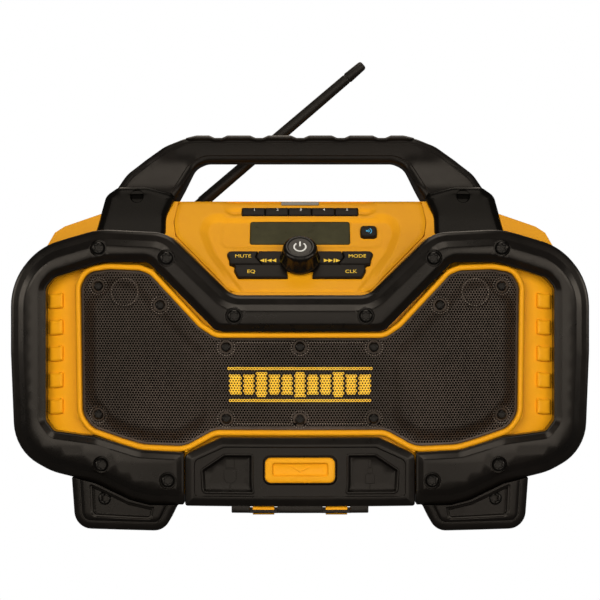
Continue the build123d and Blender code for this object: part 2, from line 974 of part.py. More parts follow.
# ---------------------------------------------------------------- control fascia
recess_half = 71.0
recess_low = 14.0
recess_high = 80.0
recess_drop = 0.8
window_thick = 1.6
window_sink = 1.0
window_ledge = 2.0
hub_r = 9.5
hub_back = 5.0
bearing_gap = 0.5
dimple_deep = 1.2
post_spots_uv = [(66.0, 88.0), (46.0, 12.5)]
post_r = 3.0
board_gap = 0.2  # between the fascia and what is mounted behind it
left_pad = [(-57, 44.8), (-14, 44.8), (-9, 17.2), (-46.2, 17.2), (-48.3, 26.8), (-52, 35.3)]
pair_box = (46.2, 59.3, 59.1, 72.6)
dimple_spots = [(50.0, preset_v)]
dimple_r = 5.2


def u_mirror(points):
    """Mirror a (u, v) outline to the other side."""
    return [(-u, v) for u, v in reversed(points)]


def rect(u_low, v_low, u_high, v_high):
    """Rectangle as a closed outline."""
    return [(u_low, v_low), (u_high, v_low), (u_high, v_high), (u_low, v_high)]


with BuildPart() as control_fascia:
    add(inset_outline(mirrored(fascia_left), 0, -fascia_thick, 0))
    # Shallow field for the controls, presets' slot, display's seat, pads' openings
    field = rect(-recess_half, recess_low, recess_half, recess_high)
    add(slope_block(field, -recess_drop, past), mode=Mode.SUBTRACT)
    strip = ((preset_count - 1) * preset_pitch + preset_width) / 2 + key_gap
    strip_low = preset_v - preset_height / 2 - key_gap
    strip_high = preset_v + preset_height / 2 + key_gap
    strip_hole = rect(-strip, strip_low, strip, strip_high)
    add(slope_block(strip_hole, -2 * fascia_thick, past), mode=Mode.SUBTRACT)
    window_seat = rect(-window_half - fit, window_low - fit, window_half + fit, window_high + fit)
    window_hole = rect(
        -window_half + window_ledge,
        window_low + window_ledge,
        window_half - window_ledge,
        window_high - window_ledge,
    )
    add(slope_block(window_seat, -window_sink - window_thick, past), mode=Mode.SUBTRACT)
    add(slope_block(window_hole, -2 * fascia_thick, past), mode=Mode.SUBTRACT)
    pair_hole = rect(
        pair_box[0] - key_gap, pair_box[1] - key_gap, pair_box[2] + key_gap, pair_box[3] + key_gap
    )
    add(slope_block(pair_hole, -2 * fascia_thick, past), mode=Mode.SUBTRACT)
    for outline in (left_pad, u_mirror(left_pad)):
        add(inset_outline(outline, -key_gap, -2 * fascia_thick, past), mode=Mode.SUBTRACT)
    knob_middle = slope.from_local_coords((0, knob_v, -fascia_thick))
    knob_plane = Plane(origin=knob_middle, x_dir=(1, 0, 0), z_dir=slope.z_dir)
    add(disc(knob_plane, 0, fascia_thick - recess_drop, hub_r))
    bearing = disc(knob_plane, -hub_back, fascia_thick + past, shaft_r + bearing_gap)
    add(bearing, mode=Mode.SUBTRACT)
    for u, v in both(dimple_spots):
        spot = slope.from_local_coords((u, v, 0))
        dish = Plane(origin=spot, x_dir=(1, 0, 0), z_dir=slope.z_dir)
        add(disc(dish, -dimple_deep, past, dimple_r), mode=Mode.SUBTRACT)
    for u, v in both(post_spots_uv):
        spot = slope.from_local_coords((u, v, 0))
        post = Plane(origin=spot, x_dir=(1, 0, 0), z_dir=slope.z_dir)
        add(disc(post, -board_depth, -fascia_thick + merge, post_r))
control_fascia.part.label = "control_fascia"
export_step(control_fascia.part, "parts/control_fascia.step")

badge_half = 14.5
badge_low = 94.6
badge_high = 97.8
badge_glue = 0.02
badge_top = 0.9
badge_plate = slope_block(
    rect(-badge_half, badge_low, badge_half, badge_high), badge_glue, badge_top
)
badge_plate.label = "badge_plate"
export_step(badge_plate, "parts/badge_plate.step")

# Display
lcd_outline = rect(-window_half, window_low, window_half, window_high)
lcd_window = slope_block(lcd_outline, -window_sink - window_thick, -window_sink)
lcd_window.label = "lcd_window"
export_step(lcd_window, "parts/lcd_window.step")
lcd_module = slope_block(lcd_outline, -board_depth, -fascia_thick - board_gap)
lcd_module.label = "lcd_module"
export_step(lcd_module, "parts/lcd_module.step")


# ---------------------------------------------------------------- keys and buttons
def key(name, outline, proud=key_proud, cut_knob=False):
    """Key cap, standing a little proud of the fascia."""
    with BuildPart() as body:
        with BuildSketch(slope.offset(-key_deep)):
            Polygon(*outline, align=None)
        extrude(amount=key_deep + proud)
        key_top = body.faces().sort_by(Axis(slope.origin, slope.z_dir))[-1]
        chamfer(key_top.edges(), length=key_chamfer)
        if cut_knob:
            with BuildSketch(slope.offset(-big / 4)):
                with Locations((0, knob_v)):
                    Circle(knob_r + knob_clear)
            extrude(amount=big / 2, mode=Mode.SUBTRACT)
    body.part.label = name
    export_step(body.part, f"parts/{name}.step")
    return body.part


for i in range(preset_count):
    middle = (i - (preset_count - 1) / 2) * preset_pitch
    key(
        f"preset_button_{i + 1}",
        rect(
            middle - preset_width / 2,
            preset_v - preset_height / 2,
            middle + preset_width / 2,
            preset_v + preset_height / 2,
        ),
    )
key("pairing_button", rect(*pair_box))

split_u = -33.4
split_v = 30.6
pad_top_v = 44.8
pad_low_v = 17.2
upper_key = [
    (-57, pad_top_v),
    (split_u - key_gap, pad_top_v),
    (split_u - key_gap, split_v + key_gap),
    (-50.2, split_v + key_gap),
    (-52, 35.3),
]
inner_key = [
    (split_u, pad_top_v),
    (-14, pad_top_v),
    (-12, split_v + key_gap),
    (split_u, split_v + key_gap),
]
lower_key = [
    (-49.6, split_v),
    (-11.4, split_v),
    (-9, pad_low_v),
    (-46.2, pad_low_v),
    (-48.3, 26.8),
]
key("mute_key", upper_key)
key("previous_key", inner_key, cut_knob=True)
key("equalizer_key", lower_key, cut_knob=True)
key("mode_key", u_mirror(upper_key))
key("next_key", u_mirror(inner_key), cut_knob=True)
key("clock_key", u_mirror(lower_key), cut_knob=True)

# ---------------------------------------------------------------- knob and encoder
knob_axis = Plane(
    origin=slope.from_local_coords((0, knob_v, 0)), x_dir=(1, 0, 0), z_dir=slope.z_dir
)
shaft_low = -9.2
shaft_high = 12.0
knob_skirt = 3.0
knob_chamfer = 1.2
encoder_size = (14.0, 13.0)
board_rect = (-72.0, 9.0, 72.0, 92.0)

volume_shaft = disc(knob_axis, shaft_low, shaft_high, shaft_r)
volume_shaft.label = "volume_shaft"
export_step(volume_shaft, "parts/volume_shaft.step")

with BuildPart() as volume_knob:
    with BuildSketch(knob_axis.offset(knob_float)):
        Circle(knob_r)
    extrude(amount=knob_skirt)
    with BuildSketch(knob_axis.offset(knob_float + knob_skirt)):
        Circle(knob_r)
    with BuildSketch(knob_axis.offset(knob_float + knob_height)):
        Circle(knob_top_r)
    loft()
    knob_top = volume_knob.faces().sort_by(Axis(knob_axis.origin, knob_axis.z_dir))[-1]
    chamfer(knob_top.edges(), length=knob_chamfer)
    with BuildSketch(knob_axis):
        Circle(shaft_r + touch)
    extrude(amount=shaft_high + fit, mode=Mode.SUBTRACT)
volume_knob.part.label = "volume_knob"
export_step(volume_knob.part, "parts/volume_knob.step")

with BuildPart() as volume_encoder:
    with BuildSketch(knob_axis.offset(-board_depth)):
        Rectangle(*encoder_size)
        Circle(shaft_r + touch, mode=Mode.SUBTRACT)
    extrude(amount=board_depth - fascia_thick - board_gap)
volume_encoder.part.label = "volume_encoder"
export_step(volume_encoder.part, "parts/volume_encoder.step")

control_board = slope_block(rect(*board_rect), -board_depth - board_thick, -board_depth)
control_board.label = "control_board"
export_step(control_board, "parts/control_board.step")

# ---------------------------------------------------------------- front door and latch
latch_half = 25.8
latch_low = 37.0
latch_high = 55.6
latch_y = front_y + 2.0  # the latch turns about this line
latch_z = 38.5
latch_gap = 0.4
latch_swing = 1.0  # room behind the latch's lower edge as it turns
trunnion_r = 1.2
trunnion_long = 1.6
latch_front = front_y - latch_proud
latch_back = front_y + 4.0
tab_half = 50.7
tab_low = 14.5
tab_thick = 3.5
door_chamfer = 1.5
finger_deep = 4.0
knuckle_gap = 0.4
finger_pocket = [
    (-73, 45.8),
    (-55.6, 58),
    (-35.2, 58),
    (-35.2, 37),
    (-31.9, 29.7),
    (-69.2, 27.9),
]
hook_half = 8.0
hook_low = 46.0
hook_high = 49.0
latch_corner = 4.0
latch_edge = 1.4
latch_hollow = (42.0, 9.0, 2.0)  # width, height and corner radius
latch_hollow_spot = (0.4, 46.7)

with BuildPart() as front_door:
    add(outline_prism(mirrored(door_left)))
    add(bowed(0, door_plate), mode=Mode.INTERSECT)
    chamfer(face_front(front_door.part, 0), length=door_chamfer)
    add(block((-tab_half, front_y, tab_low), (tab_half, front_y + tab_thick, door_low + 2)))
    for pocket in (finger_pocket, u_mirror(finger_pocket)):
        add(outline_prism(pocket) & bowed(-past, finger_deep), mode=Mode.SUBTRACT)
    for side in (-1, 1):
        # Notch for the housing's knuckle, barrels at both ends of the pin
        low_x, high_x = sorted((side * front_knuckle[0], side * front_knuckle[1]))
        notch = (low_x - knuckle_gap, front_y + tab_thick, 0)
        add(block(notch, (high_x + knuckle_gap, big, door_low + 3)), mode=Mode.SUBTRACT)
        barrels = (
            (side * front_pin[0], side * (front_knuckle[0] - knuckle_gap)),
            (side * (front_knuckle[1] + knuckle_gap), side * front_pin[1]),
        )
        for ends in barrels:
            start_x, end_x = sorted(ends)
            start = (start_x, hinge_y, hinge_z)
            end = (end_x, hinge_y, hinge_z)
            add(rod(knuckle_r, start, end))
            add(block(
                (start_x, front_y + 2, hinge_z + 1),
                (end_x, hinge_y + 1, door_low + 4),
            ))
            bore = (start_x - 0.1, hinge_y, hinge_z), (end_x + 0.1, hinge_y, hinge_z)
            add(rod(hinge_pin_r + touch, *bore), mode=Mode.SUBTRACT)
    seat_low = (-latch_half - latch_gap, -big, latch_low - 1)
    seat_high = (latch_half + latch_gap, latch_back + latch_swing, latch_high + 0.5)
    add(block(seat_low, seat_high), mode=Mode.SUBTRACT)
    trunnion_room = latch_half + trunnion_long + latch_gap
    trunnion_bore = (-trunnion_room, latch_y, latch_z), (trunnion_room, latch_y, latch_z)
    add(rod(trunnion_r + touch, *trunnion_bore), mode=Mode.SUBTRACT)
    hook_way = (-hook_half - merge, -big, hook_low - 3)
    add(block(hook_way, (hook_half + merge, 0, latch_high)), mode=Mode.SUBTRACT)
front_door.part.label = "front_door"
export_step(front_door.part, "parts/front_door.step")

with BuildPart() as front_latch:
    add(block((-latch_half, latch_front, latch_low), (latch_half, latch_back, latch_high)))
    fillet(front_latch.edges().filter_by(Axis.Y), radius=latch_corner)
    fillet(front_latch.faces().sort_by(Axis.Y)[0].edges(), radius=latch_edge)
    with BuildSketch(Plane.XZ.offset(-latch_front)):
        with Locations(latch_hollow_spot):
            RectangleRounded(*latch_hollow)
    extrude(amount=-latch_edge, mode=Mode.SUBTRACT)
    add(block((-hook_half, latch_back - 1, hook_low), (hook_half, front_y + 12, hook_high)))
    trunnion_end = latch_half + trunnion_long
    add(rod(trunnion_r, (-trunnion_end, latch_y, latch_z), (trunnion_end, latch_y, latch_z)))
front_latch.part.label = "front_latch"
export_step(front_latch.part, "parts/front_latch.step")

# ---------------------------------------------------------------- battery door and latch
battery_margin = 6.0
battery_top = bay_high + battery_margin
battery_low = battery_hinge_z + knuckle_r + 0.6
battery_face = housing_back + 0.4
thumb_low = 134.0
thumb_high = 146.0
thumb_travel = 4.0
thumb_half = 16.0
thumb_thick = 4.0
thumb_gap = 0.2
rib_count = 4
rib_pitch = 2.0
rib_half = (12.0, 0.4)
rib_deep = 0.6
stem_half = 5.0
stem_gap = 0.5

with BuildPart() as battery_door:
    add(block(
        (-bay_half - battery_margin, battery_face, battery_low),
        (bay_half + battery_margin, battery_face + battery_door_plate, battery_top),
    ))
    chamfer(battery_door.faces().sort_by(Axis.Y)[-1].edges(), length=1.5)
    for side in (-1, 1):
        barrels = (
            (side * rear_pin[0], side * (rear_knuckle[0] - knuckle_gap)),
            (side * (rear_knuckle[1] + knuckle_gap), side * rear_pin[1]),
        )
        for ends in barrels:
            start_x, end_x = sorted(ends)
            add(rod(
                knuckle_r,
                (start_x, battery_hinge_y, battery_hinge_z),
                (end_x, battery_hinge_y, battery_hinge_z),
            ))
            add(block(
                (start_x, battery_hinge_y - 3, battery_hinge_z),
                (end_x, battery_hinge_y, battery_low + 2),
            ))
            add(
                rod(
                    hinge_pin_r + touch,
                    (start_x - 0.1, battery_hinge_y, battery_hinge_z),
                    (end_x + 0.1, battery_hinge_y, battery_hinge_z),
                ),
                mode=Mode.SUBTRACT,
            )
    slot_half = stem_half + stem_gap
    slot_low = (-slot_half, 0, thumb_low + 2 - thumb_travel)
    add(block(slot_low, (slot_half, big, thumb_high - 1.5)), mode=Mode.SUBTRACT)
battery_door.part.label = "battery_door"
export_step(battery_door.part, "parts/battery_door.step")

with BuildPart() as battery_latch:
    thumb_y = battery_face + battery_door_plate + thumb_gap
    thumb_back = thumb_y + thumb_thick
    add(block((-thumb_half, thumb_y, thumb_low), (thumb_half, thumb_back, thumb_high)))
    chamfer(battery_latch.faces().sort_by(Axis.Y)[-1].edges(), length=1.2)
    for i in range(rib_count):
        rib_z = thumb_low + 3 + i * rib_pitch
        groove_low = (-rib_half[0], thumb_back - rib_deep, rib_z - rib_half[1])
        groove_high = (rib_half[0], thumb_back + past, rib_z + rib_half[1])
        add(block(groove_low, groove_high), mode=Mode.SUBTRACT)
    stem_low = (-stem_half, battery_face - 2, thumb_low + 3)
    add(block(stem_low, (stem_half, thumb_y + 1, thumb_high - 3)))
battery_latch.part.label = "battery_latch"
export_step(battery_latch.part, "parts/battery_latch.step")

# ---------------------------------------------------------------- hinge pins
pins = []
for side in (-1, 1):
    low_x, high_x = sorted((side * front_pin[0], side * front_pin[1]))
    pins.append(rod(hinge_pin_r, (low_x, hinge_y, hinge_z), (high_x, hinge_y, hinge_z)))
    low_x, high_x = sorted((side * rear_pin[0], side * rear_pin[1]))
    pins.append(
        rod(
            hinge_pin_r,
            (low_x, battery_hinge_y, battery_hinge_z),
            (high_x, battery_hinge_y, battery_hinge_z),
        )
    )
screw_group("door_pins", pins)

# ---------------------------------------------------------------- storage tray and ports
usb_x = -40.0
jack_x = 40.0
port_z = 46.0
port_y = tray_back
port_proud = 4.0  # ports in front of the tray's back wall
usb_half = (8.0, 5.0)
usb_mouth = (6.4, 2.7)
usb_long = 12.0
jack_r = 5.0
jack_bore_r = 1.8
jack_long = 14.0

tray_outer = drawn_in(mirrored(door_left), tray_margin)
tray_length = outline_prism(tray_outer) & bowed(housing_set, 2 * half)

with BuildPart() as storage_tray:
    add(tray_length)
    add(block((-half, -half, 0), (half, tray_back, half)), mode=Mode.INTERSECT)
    flange_plate = outline_prism(drawn_in(mirrored(door_left), 2))
    add(flange_plate & bowed(housing_set - tray_wall, housing_set))
    hollow = outline_prism(tray_outer, tray_wall)
    add(hollow & block((-half, -half, 0), (half, tray_back - tray_wall, half)), mode=Mode.SUBTRACT)
    for side in (-1, 1):
        low_x, high_x = sorted((side * front_knuckle[0], side * front_knuckle[1]))
        arm_room = (low_x - fit, -half, 0), (high_x + fit, tray_back, 30 + fit)
        add(block(*arm_room) & bowed(0, housing_set), mode=Mode.SUBTRACT)
    usb_low = (usb_x - usb_half[0], 1.4 * tray_back, port_z - usb_half[1])
    usb_high = (usb_x + usb_half[0], 0, port_z + usb_half[1])
    add(block(usb_low, usb_high), mode=Mode.SUBTRACT)
    add(rod(jack_r, (jack_x, 1.4 * tray_back, port_z), (jack_x, 0, port_z)), mode=Mode.SUBTRACT)
storage_tray.part.label = "storage_tray"
export_step(storage_tray.part, "parts/storage_tray.step")

with BuildPart() as usb_port:
    add(block(
        (usb_x - usb_half[0], port_y - port_proud, port_z - usb_half[1]),
        (usb_x + usb_half[0], port_y + usb_long, port_z + usb_half[1]),
    ))
    mouth_low = (usb_x - usb_mouth[0], port_y - port_proud - past, port_z - usb_mouth[1])
    mouth_high = (usb_x + usb_mouth[0], port_y + usb_long - wall, port_z + usb_mouth[1])
    add(block(mouth_low, mouth_high), mode=Mode.SUBTRACT)
usb_port.part.label = "usb_port"
export_step(usb_port.part, "parts/usb_port.step")

with BuildPart() as aux_jack:
    jack_front = port_y - port_proud
    jack_back = port_y + jack_long
    add(rod(jack_r, (jack_x, jack_front, port_z), (jack_x, jack_back, port_z)))
    bore_ends = (jack_x, jack_front - past, port_z), (jack_x, jack_back - 2, port_z)
    add(rod(jack_bore_r, *bore_ends), mode=Mode.SUBTRACT)
aux_jack.part.label = "aux_jack"
export_step(aux_jack.part, "parts/aux_jack.step")

# ---------------------------------------------------------------- speakers
surround_gap = 0.3
surround_thick = 1.2
rim_thick = 2.0  # woofer frame's flange
basket_deep = 26.0
basket_end_r = 28.0
basket_wall = 2.0
magnet_r = 30.0
magnet_back = 36.0
coil_room_r = 14.0
coil_room_deep = 33.0
cone_deep = 16.0
cone_end_r = 13.0
cone_wall = 1.2
cone_rim = 0.2  # cone's rim in front of its seat
coil_r = 12.4
coil_end = 22.0
tweeter_deep = 10.0
tweeter_rim = 3.0
dome_r = 7.0
dome_top_r = 3.0

for side in (-1, 1):
    side_name = "left" if side < 0 else "right"
    seat = speaker_plane(side, woofer_x, woofer_z).offset(-woofer_seat)
    with BuildPart() as woofer_frame:
        add(disc(seat, -rim_thick, 0, woofer_r, woofer_hole_r))
        with BuildSketch(seat.offset(-rim_thick)):
            Circle(woofer_hole_r + basket_wall)
        with BuildSketch(seat.offset(-basket_deep)):
            Circle(basket_end_r)
        loft()
        with BuildSketch(seat.offset(-rim_thick + 0.1)):
            Circle(woofer_hole_r)
        with BuildSketch(seat.offset(-basket_deep + basket_wall)):
            Circle(basket_end_r - basket_wall)
        loft(mode=Mode.SUBTRACT)
        add(disc(seat, -magnet_back, -basket_deep, magnet_r))
        add(disc(seat, -rim_thick - merge, past, woofer_hole_r), mode=Mode.SUBTRACT)
        add(disc(seat, -coil_room_deep, -basket_deep + 6, coil_room_r), mode=Mode.SUBTRACT)
    name = f"woofer_frame_{side_name}"
    woofer_frame.part.label = name
    export_step(woofer_frame.part, f"parts/{name}.step")

    surround_back = -rim_thick
    surround = disc(
        seat, surround_back, surround_back + surround_thick, woofer_hole_r, cone_r + surround_gap
    )
    name = f"woofer_surround_{side_name}"
    surround.label = name
    export_step(surround, f"parts/{name}.step")

    with BuildPart() as woofer_cone:
        for front, mode in ((cone_rim - cone_wall, Mode.ADD), (cone_rim, Mode.SUBTRACT)):
            with BuildSketch(seat.offset(front)):
                Circle(cone_r)
            with BuildSketch(seat.offset(front - cone_deep)):
                Circle(cone_end_r)
            loft(mode=mode)
        add(disc(seat, -coil_end, -cone_deep + 1, coil_r))
    name = f"woofer_cone_{side_name}"
    woofer_cone.part.label = name
    export_step(woofer_cone.part, f"parts/{name}.step")

    back = speaker_plane(side, tweeter_x, tweeter_z).offset(-woofer_seat)
    with BuildPart() as tweeter:
        add(disc(back, -tweeter_deep, 0, tweeter_r))
        add(disc(back, -rim_thick, past, tweeter_r - tweeter_rim), mode=Mode.SUBTRACT)
        with BuildSketch(back.offset(-rim_thick - 0.2)):
            Circle(dome_r)
        with BuildSketch(back.offset(past)):
            Circle(dome_top_r)
        loft()
    name = f"tweeter_{side_name}"
    tweeter.part.label = name
    export_step(tweeter.part, f"parts/{name}.step")

# ---------------------------------------------------------------- electrics in the back
terminal_half = 22.0
terminal_low = 92.0
terminal_high = 122.0
terminal_thick = 6.0
blade_count = 4
blade_pitch = 10.0
blade_half = 0.6
blade_long = 5.0
blade_margin = 4.0

with BuildPart() as battery_terminal:
    blade_y = bay_front + terminal_thick
    add(block((-terminal_half, bay_front, terminal_low), (terminal_half, blade_y, terminal_high)))
    for i in range(blade_count):
        blade_x = (i - (blade_count - 1) / 2) * blade_pitch
        blade_low = (blade_x - blade_half, blade_y - 1, terminal_low + blade_margin)
        blade_high = (blade_x + blade_half, blade_y + blade_long, terminal_high - blade_margin)
        add(block(blade_low, blade_high))
battery_terminal.part.label = "battery_terminal"
export_step(battery_terminal.part, "parts/battery_terminal.step")

main_board_half = 64.0
main_board_low = 78.0
main_board_high = 146.0
main_board = block(
    (-main_board_half, board_y, main_board_low),
    (main_board_half, board_y + board_thick, main_board_high),
)
main_board.label = "main_board"
export_step(main_board, "parts/main_board.step")

supply_low = (62.0, 18.0, 30.0)
supply_high = (106.0, 84.0, 64.0)
power_supply = block(supply_low, supply_high)
power_supply.label = "power_supply"
export_step(power_supply, "parts/power_supply.step")

inlet_rim = 2.0
inlet_rim_thick = 1.6
inlet_mouth = (10.0, 5.5)
inlet_mouth_deep = 15.0
inlet_pin_r = 1.2
inlet_pin_x = 4.4
inlet_pin_long = 11.0

with BuildPart() as mains_inlet:
    add(block(
        (inlet_x - inlet_half[0] + fit, housing_back - inlet_deep, inlet_z - inlet_half[1] + fit),
        (inlet_x + inlet_half[0] - fit, housing_back, inlet_z + inlet_half[1] - fit),
    ))
    rim_x = inlet_half[0] + inlet_rim
    rim_z = inlet_half[1] + inlet_rim
    rim_back = housing_back + inlet_rim_thick
    add(block((inlet_x - rim_x, housing_back, inlet_z - rim_z), (inlet_x + rim_x, rim_back, inlet_z + rim_z)))
    mouth_y = housing_back - inlet_mouth_deep
    mouth_low = (inlet_x - inlet_mouth[0], mouth_y, inlet_z - inlet_mouth[1])
    mouth_high = (inlet_x + inlet_mouth[0], big, inlet_z + inlet_mouth[1])
    add(block(mouth_low, mouth_high), mode=Mode.SUBTRACT)
    for side in (-1, 1):
        pin_x = inlet_x + side * inlet_pin_x
        pin_start = (pin_x, mouth_y - 1, inlet_z)
        add(rod(inlet_pin_r, pin_start, (pin_x, mouth_y - 1 + inlet_pin_long, inlet_z)))
mains_inlet.part.label = "mains_inlet"
export_step(mains_inlet.part, "parts/mains_inlet.step")

# ---------------------------------------------------------------- aerial
rise = radians(mast_rise)
way = Vector(cos(rise), 0, sin(rise))
pivot = Vector(mast_x, mast_y, mast_z)
tongue_half = 2.3
tongue_r = 4.6
cheek_gap = 0.2  # between the tongue and each cheek of the mast's fork
fork_r = 7.8  # room for the tongue, about the pivot
pivot_r = 1.6
pivot_half = 4.4
flange_r = 7.5
flange_high = 5.0
sleeve_start = 162.0  # where the end cap starts along the mast
sleeve_step = 0.3

with BuildPart() as antenna_base:
    spigot_low = deck_z - aerial_hub_deep - 2
    add(rod(aerial_bore_r, (mast_x, mast_y, spigot_low), (mast_x, mast_y, deck_z + 1)))
    flange_top = deck_z + flange_high
    add(rod(flange_r, (mast_x, mast_y, deck_z + fit), (mast_x, mast_y, flange_top)))
    tongue_front = mast_y - tongue_half
    tongue_back = mast_y + tongue_half
    add(block(
        (mast_x - tongue_r, tongue_front, flange_top - 1),
        (mast_x + tongue_r, tongue_back, mast_z),
    ))
    add(rod(tongue_r, (mast_x, tongue_front, mast_z), (mast_x, tongue_back, mast_z)))
    pin_ends = [(mast_x, mast_y + side * pivot_half, mast_z) for side in (-1, 1)]
    add(rod(pivot_r, *pin_ends))
antenna_base.part.label = "antenna_base"
export_step(antenna_base.part, "parts/antenna_base.step")

with BuildPart() as antenna_mast:
    sleeve = tuple(pivot + way * sleeve_start)
    add(cone(tuple(pivot), sleeve, mast_r, mast_tip_r + sleeve_step))
    add(cone(sleeve, tuple(pivot + way * mast_length), mast_tip_r + 2 * sleeve_step, mast_tip_r))
    with Locations(tuple(pivot)):
        Sphere(mast_r)
    room_half = tongue_half + cheek_gap
    room_ends = [(mast_x, mast_y + side * room_half, mast_z) for side in (-1, 1)]
    bore_ends = [(mast_x, mast_y + side * 2 * mast_r, mast_z) for side in (-1, 1)]
    add([rod(fork_r, *room_ends), rod(pivot_r + touch, *bore_ends)], mode=Mode.SUBTRACT)
antenna_mast.part.label = "antenna_mast"
export_step(antenna_mast.part, "parts/antenna_mast.step")
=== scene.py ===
"""Looks of the jobsite radio: modelled shells, perforated grille, finishes, light and camera."""

import json
import logging
import math
from dataclasses import dataclass, replace
from enum import Enum
from functools import cached_property
from typing import Callable, Protocol, Sequence

import bmesh
import bpy
import numpy as np
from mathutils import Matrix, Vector
from mathutils.geometry import delaunay_2d_cdt


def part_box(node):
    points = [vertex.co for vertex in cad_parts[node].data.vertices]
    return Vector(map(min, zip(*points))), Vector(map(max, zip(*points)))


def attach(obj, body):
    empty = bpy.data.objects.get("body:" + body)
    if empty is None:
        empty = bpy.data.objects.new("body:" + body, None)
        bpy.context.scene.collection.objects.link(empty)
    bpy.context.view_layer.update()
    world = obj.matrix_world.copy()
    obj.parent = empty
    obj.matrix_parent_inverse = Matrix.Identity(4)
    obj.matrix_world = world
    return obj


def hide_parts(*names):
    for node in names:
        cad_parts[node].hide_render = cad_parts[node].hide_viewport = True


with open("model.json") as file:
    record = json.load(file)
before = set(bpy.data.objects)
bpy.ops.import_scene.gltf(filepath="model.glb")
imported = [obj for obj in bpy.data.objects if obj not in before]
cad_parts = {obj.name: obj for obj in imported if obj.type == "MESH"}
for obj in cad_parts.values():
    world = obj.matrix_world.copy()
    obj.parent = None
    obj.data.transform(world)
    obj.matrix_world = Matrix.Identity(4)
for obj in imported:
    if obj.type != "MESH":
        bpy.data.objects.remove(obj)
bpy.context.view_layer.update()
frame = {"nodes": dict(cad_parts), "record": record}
LOG = logging.getLogger("radio")

Array = np.ndarray
Spot = tuple[float, float]
Corner = tuple[float, float, float]
Seat = Callable[[Array, Array, Array], Array]  # surface: x, z and depth to points in space
Place = Callable[[Array], Array]  # flat spots to points in space
Relief = Callable[[Array], Array]  # flat spots to depths

MM = 0.001  # metres in a millimetre; the sizes below are in millimetres


# ---------------------------------------------------------------- the radio's own surfaces
LATCH_PROUD = 1.2  # how far the latch's pull stands before the bowed front
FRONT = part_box("front_latch")[0].y / MM + LATCH_PROUD
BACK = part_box("rear_cage")[1].y / MM
REAR = FRONT + 214.0  # the housing's back
BOW = 560.0  # plan radius of the bowed front
LEAN = math.radians(43.0)  # control face, back from upright
SLOPE = (FRONT + 24.0, 175.5)  # y and z where the control face starts


def bow_y(x: Array, depth: Array) -> Array:
    """Y of the bowed front: a circle about a far axis, drawn in by the depth."""
    return FRONT + BOW - np.sqrt((BOW - depth) ** 2 - x**2)


def bow_seat(x: Array, z: Array, depth: Array) -> Array:
    """Place on the bowed front, at a depth behind it."""
    return np.stack([x, bow_y(x, depth), z], -1)


def back_seat(x: Array, z: Array, depth: Array) -> Array:
    """Place behind the housing's back, at a height off it."""
    return np.stack([x, REAR + depth + 0 * x, z], -1)


def slope_seat(u: Array, v: Array, height: Array) -> Array:
    """Place on the control face: v runs up the slope and the height stands square on it.

    Args:
        u: places across the face.
        v: places up the slope.
        height: heights out of the face.

    Returns:
        Points in space.
    """
    y = SLOPE[0] + v * math.sin(LEAN) - height * math.cos(LEAN)
    z = SLOPE[1] + v * math.cos(LEAN) + height * math.sin(LEAN)
    return np.stack([u, y + 0 * u, z], -1)


def node_points(node: str) -> Array:
    """Points of a CAD node, in millimetres."""
    return np.array([vertex.co[:] for vertex in frame["nodes"][node].data.vertices]) / MM


def slope_span(node: str) -> Spot:
    """Lowest and highest height of a CAD node over the control face.

    Args:
        node: name of the CAD node.

    Returns:
        The two heights.
    """
    points = node_points(node)
    height = (points[:, 2] - SLOPE[1]) * math.sin(LEAN) - (points[:, 1] - SLOPE[0]) * math.cos(LEAN)
    return float(height.min()), float(height.max())


def shell_depth(node: str, half: float, low: float, high: float = math.inf) -> float:
    """Least depth behind the bow of a CAD node's points in a field of the front.

    Args:
        node: name of the CAD node.
        half: half width of the field.
        low: lower edge of the field.
        high: upper edge of the field.

    Returns:
        The depth: the bow's radius less the points' distance from its axis.
    """
    points = node_points(node)
    near = points[(np.abs(points[:, 0]) < half) & (points[:, 2] > low) & (points[:, 2] < high)]
    return float((BOW - np.hypot(near[:, 0], BOW + FRONT - near[:, 1])).min())


def profile_seat(front: Sequence[Spot], back: Sequence[Spot]) -> tuple[Seat, Seat]:
    """Front and back seats of a piece whose two faces follow side profiles.

    Args:
        front: y and z of the front face, from the bottom to the top.
        back: y and z of the back face, from the bottom to the top.

    Returns:
        Seats whose depth runs into the piece from its front or its back face.
    """
    (fy, fz), (by, bz) = np.array(front).T, np.array(back).T

    def from_front(x: Array, z: Array, depth: Array) -> Array:
        """Place behind the front profile."""
        return np.stack([x, np.interp(z, fz, fy) + depth, z], -1)

    def from_back(x: Array, z: Array, depth: Array) -> Array:
        """Place before the back profile."""
        return np.stack([x, np.interp(z, bz, by) - depth, z], -1)

    return from_front, from_back


def laid(seat: Seat, depth: float | Relief) -> Place:
    """Rule that lays flat spots on a seat.

    Args:
        seat: the surface.
        depth: one depth for all spots, or a rule that works it out from the spots.

    Returns:
        Rule from flat spots to points in space.
    """

    def place(flat: Array) -> Array:
        """Flat spots on the seat."""
        level = depth(flat) if callable(depth) else np.full(len(flat), depth)
        return seat(flat[:, 0], flat[:, 1], level)

    return place


# ---------------------------------------------------------------- flat shapes
TINY = 1e-12  # keeps a division off 0
UNFILLED = 50.0  # pitch of a small face that needs no inner points


def edge_gap(spots: Array, start: Array, end: Array) -> Array:
    """Least distance from each spot to a set of straight edges.

    Args:
        spots: x and z of each spot.
        start: x and z of each edge's start.
        end: x and z of each edge's end.

    Returns:
        One distance for each spot, to the nearest point of any edge.
    """
    way = end - start
    size = np.maximum((way**2).sum(1), TINY)
    off = spots[:, None] - start[None]
    share = np.clip((off * way).sum(-1) / size, 0, 1)
    return np.sqrt(((off - share[..., None] * way) ** 2).sum(-1)).min(1)


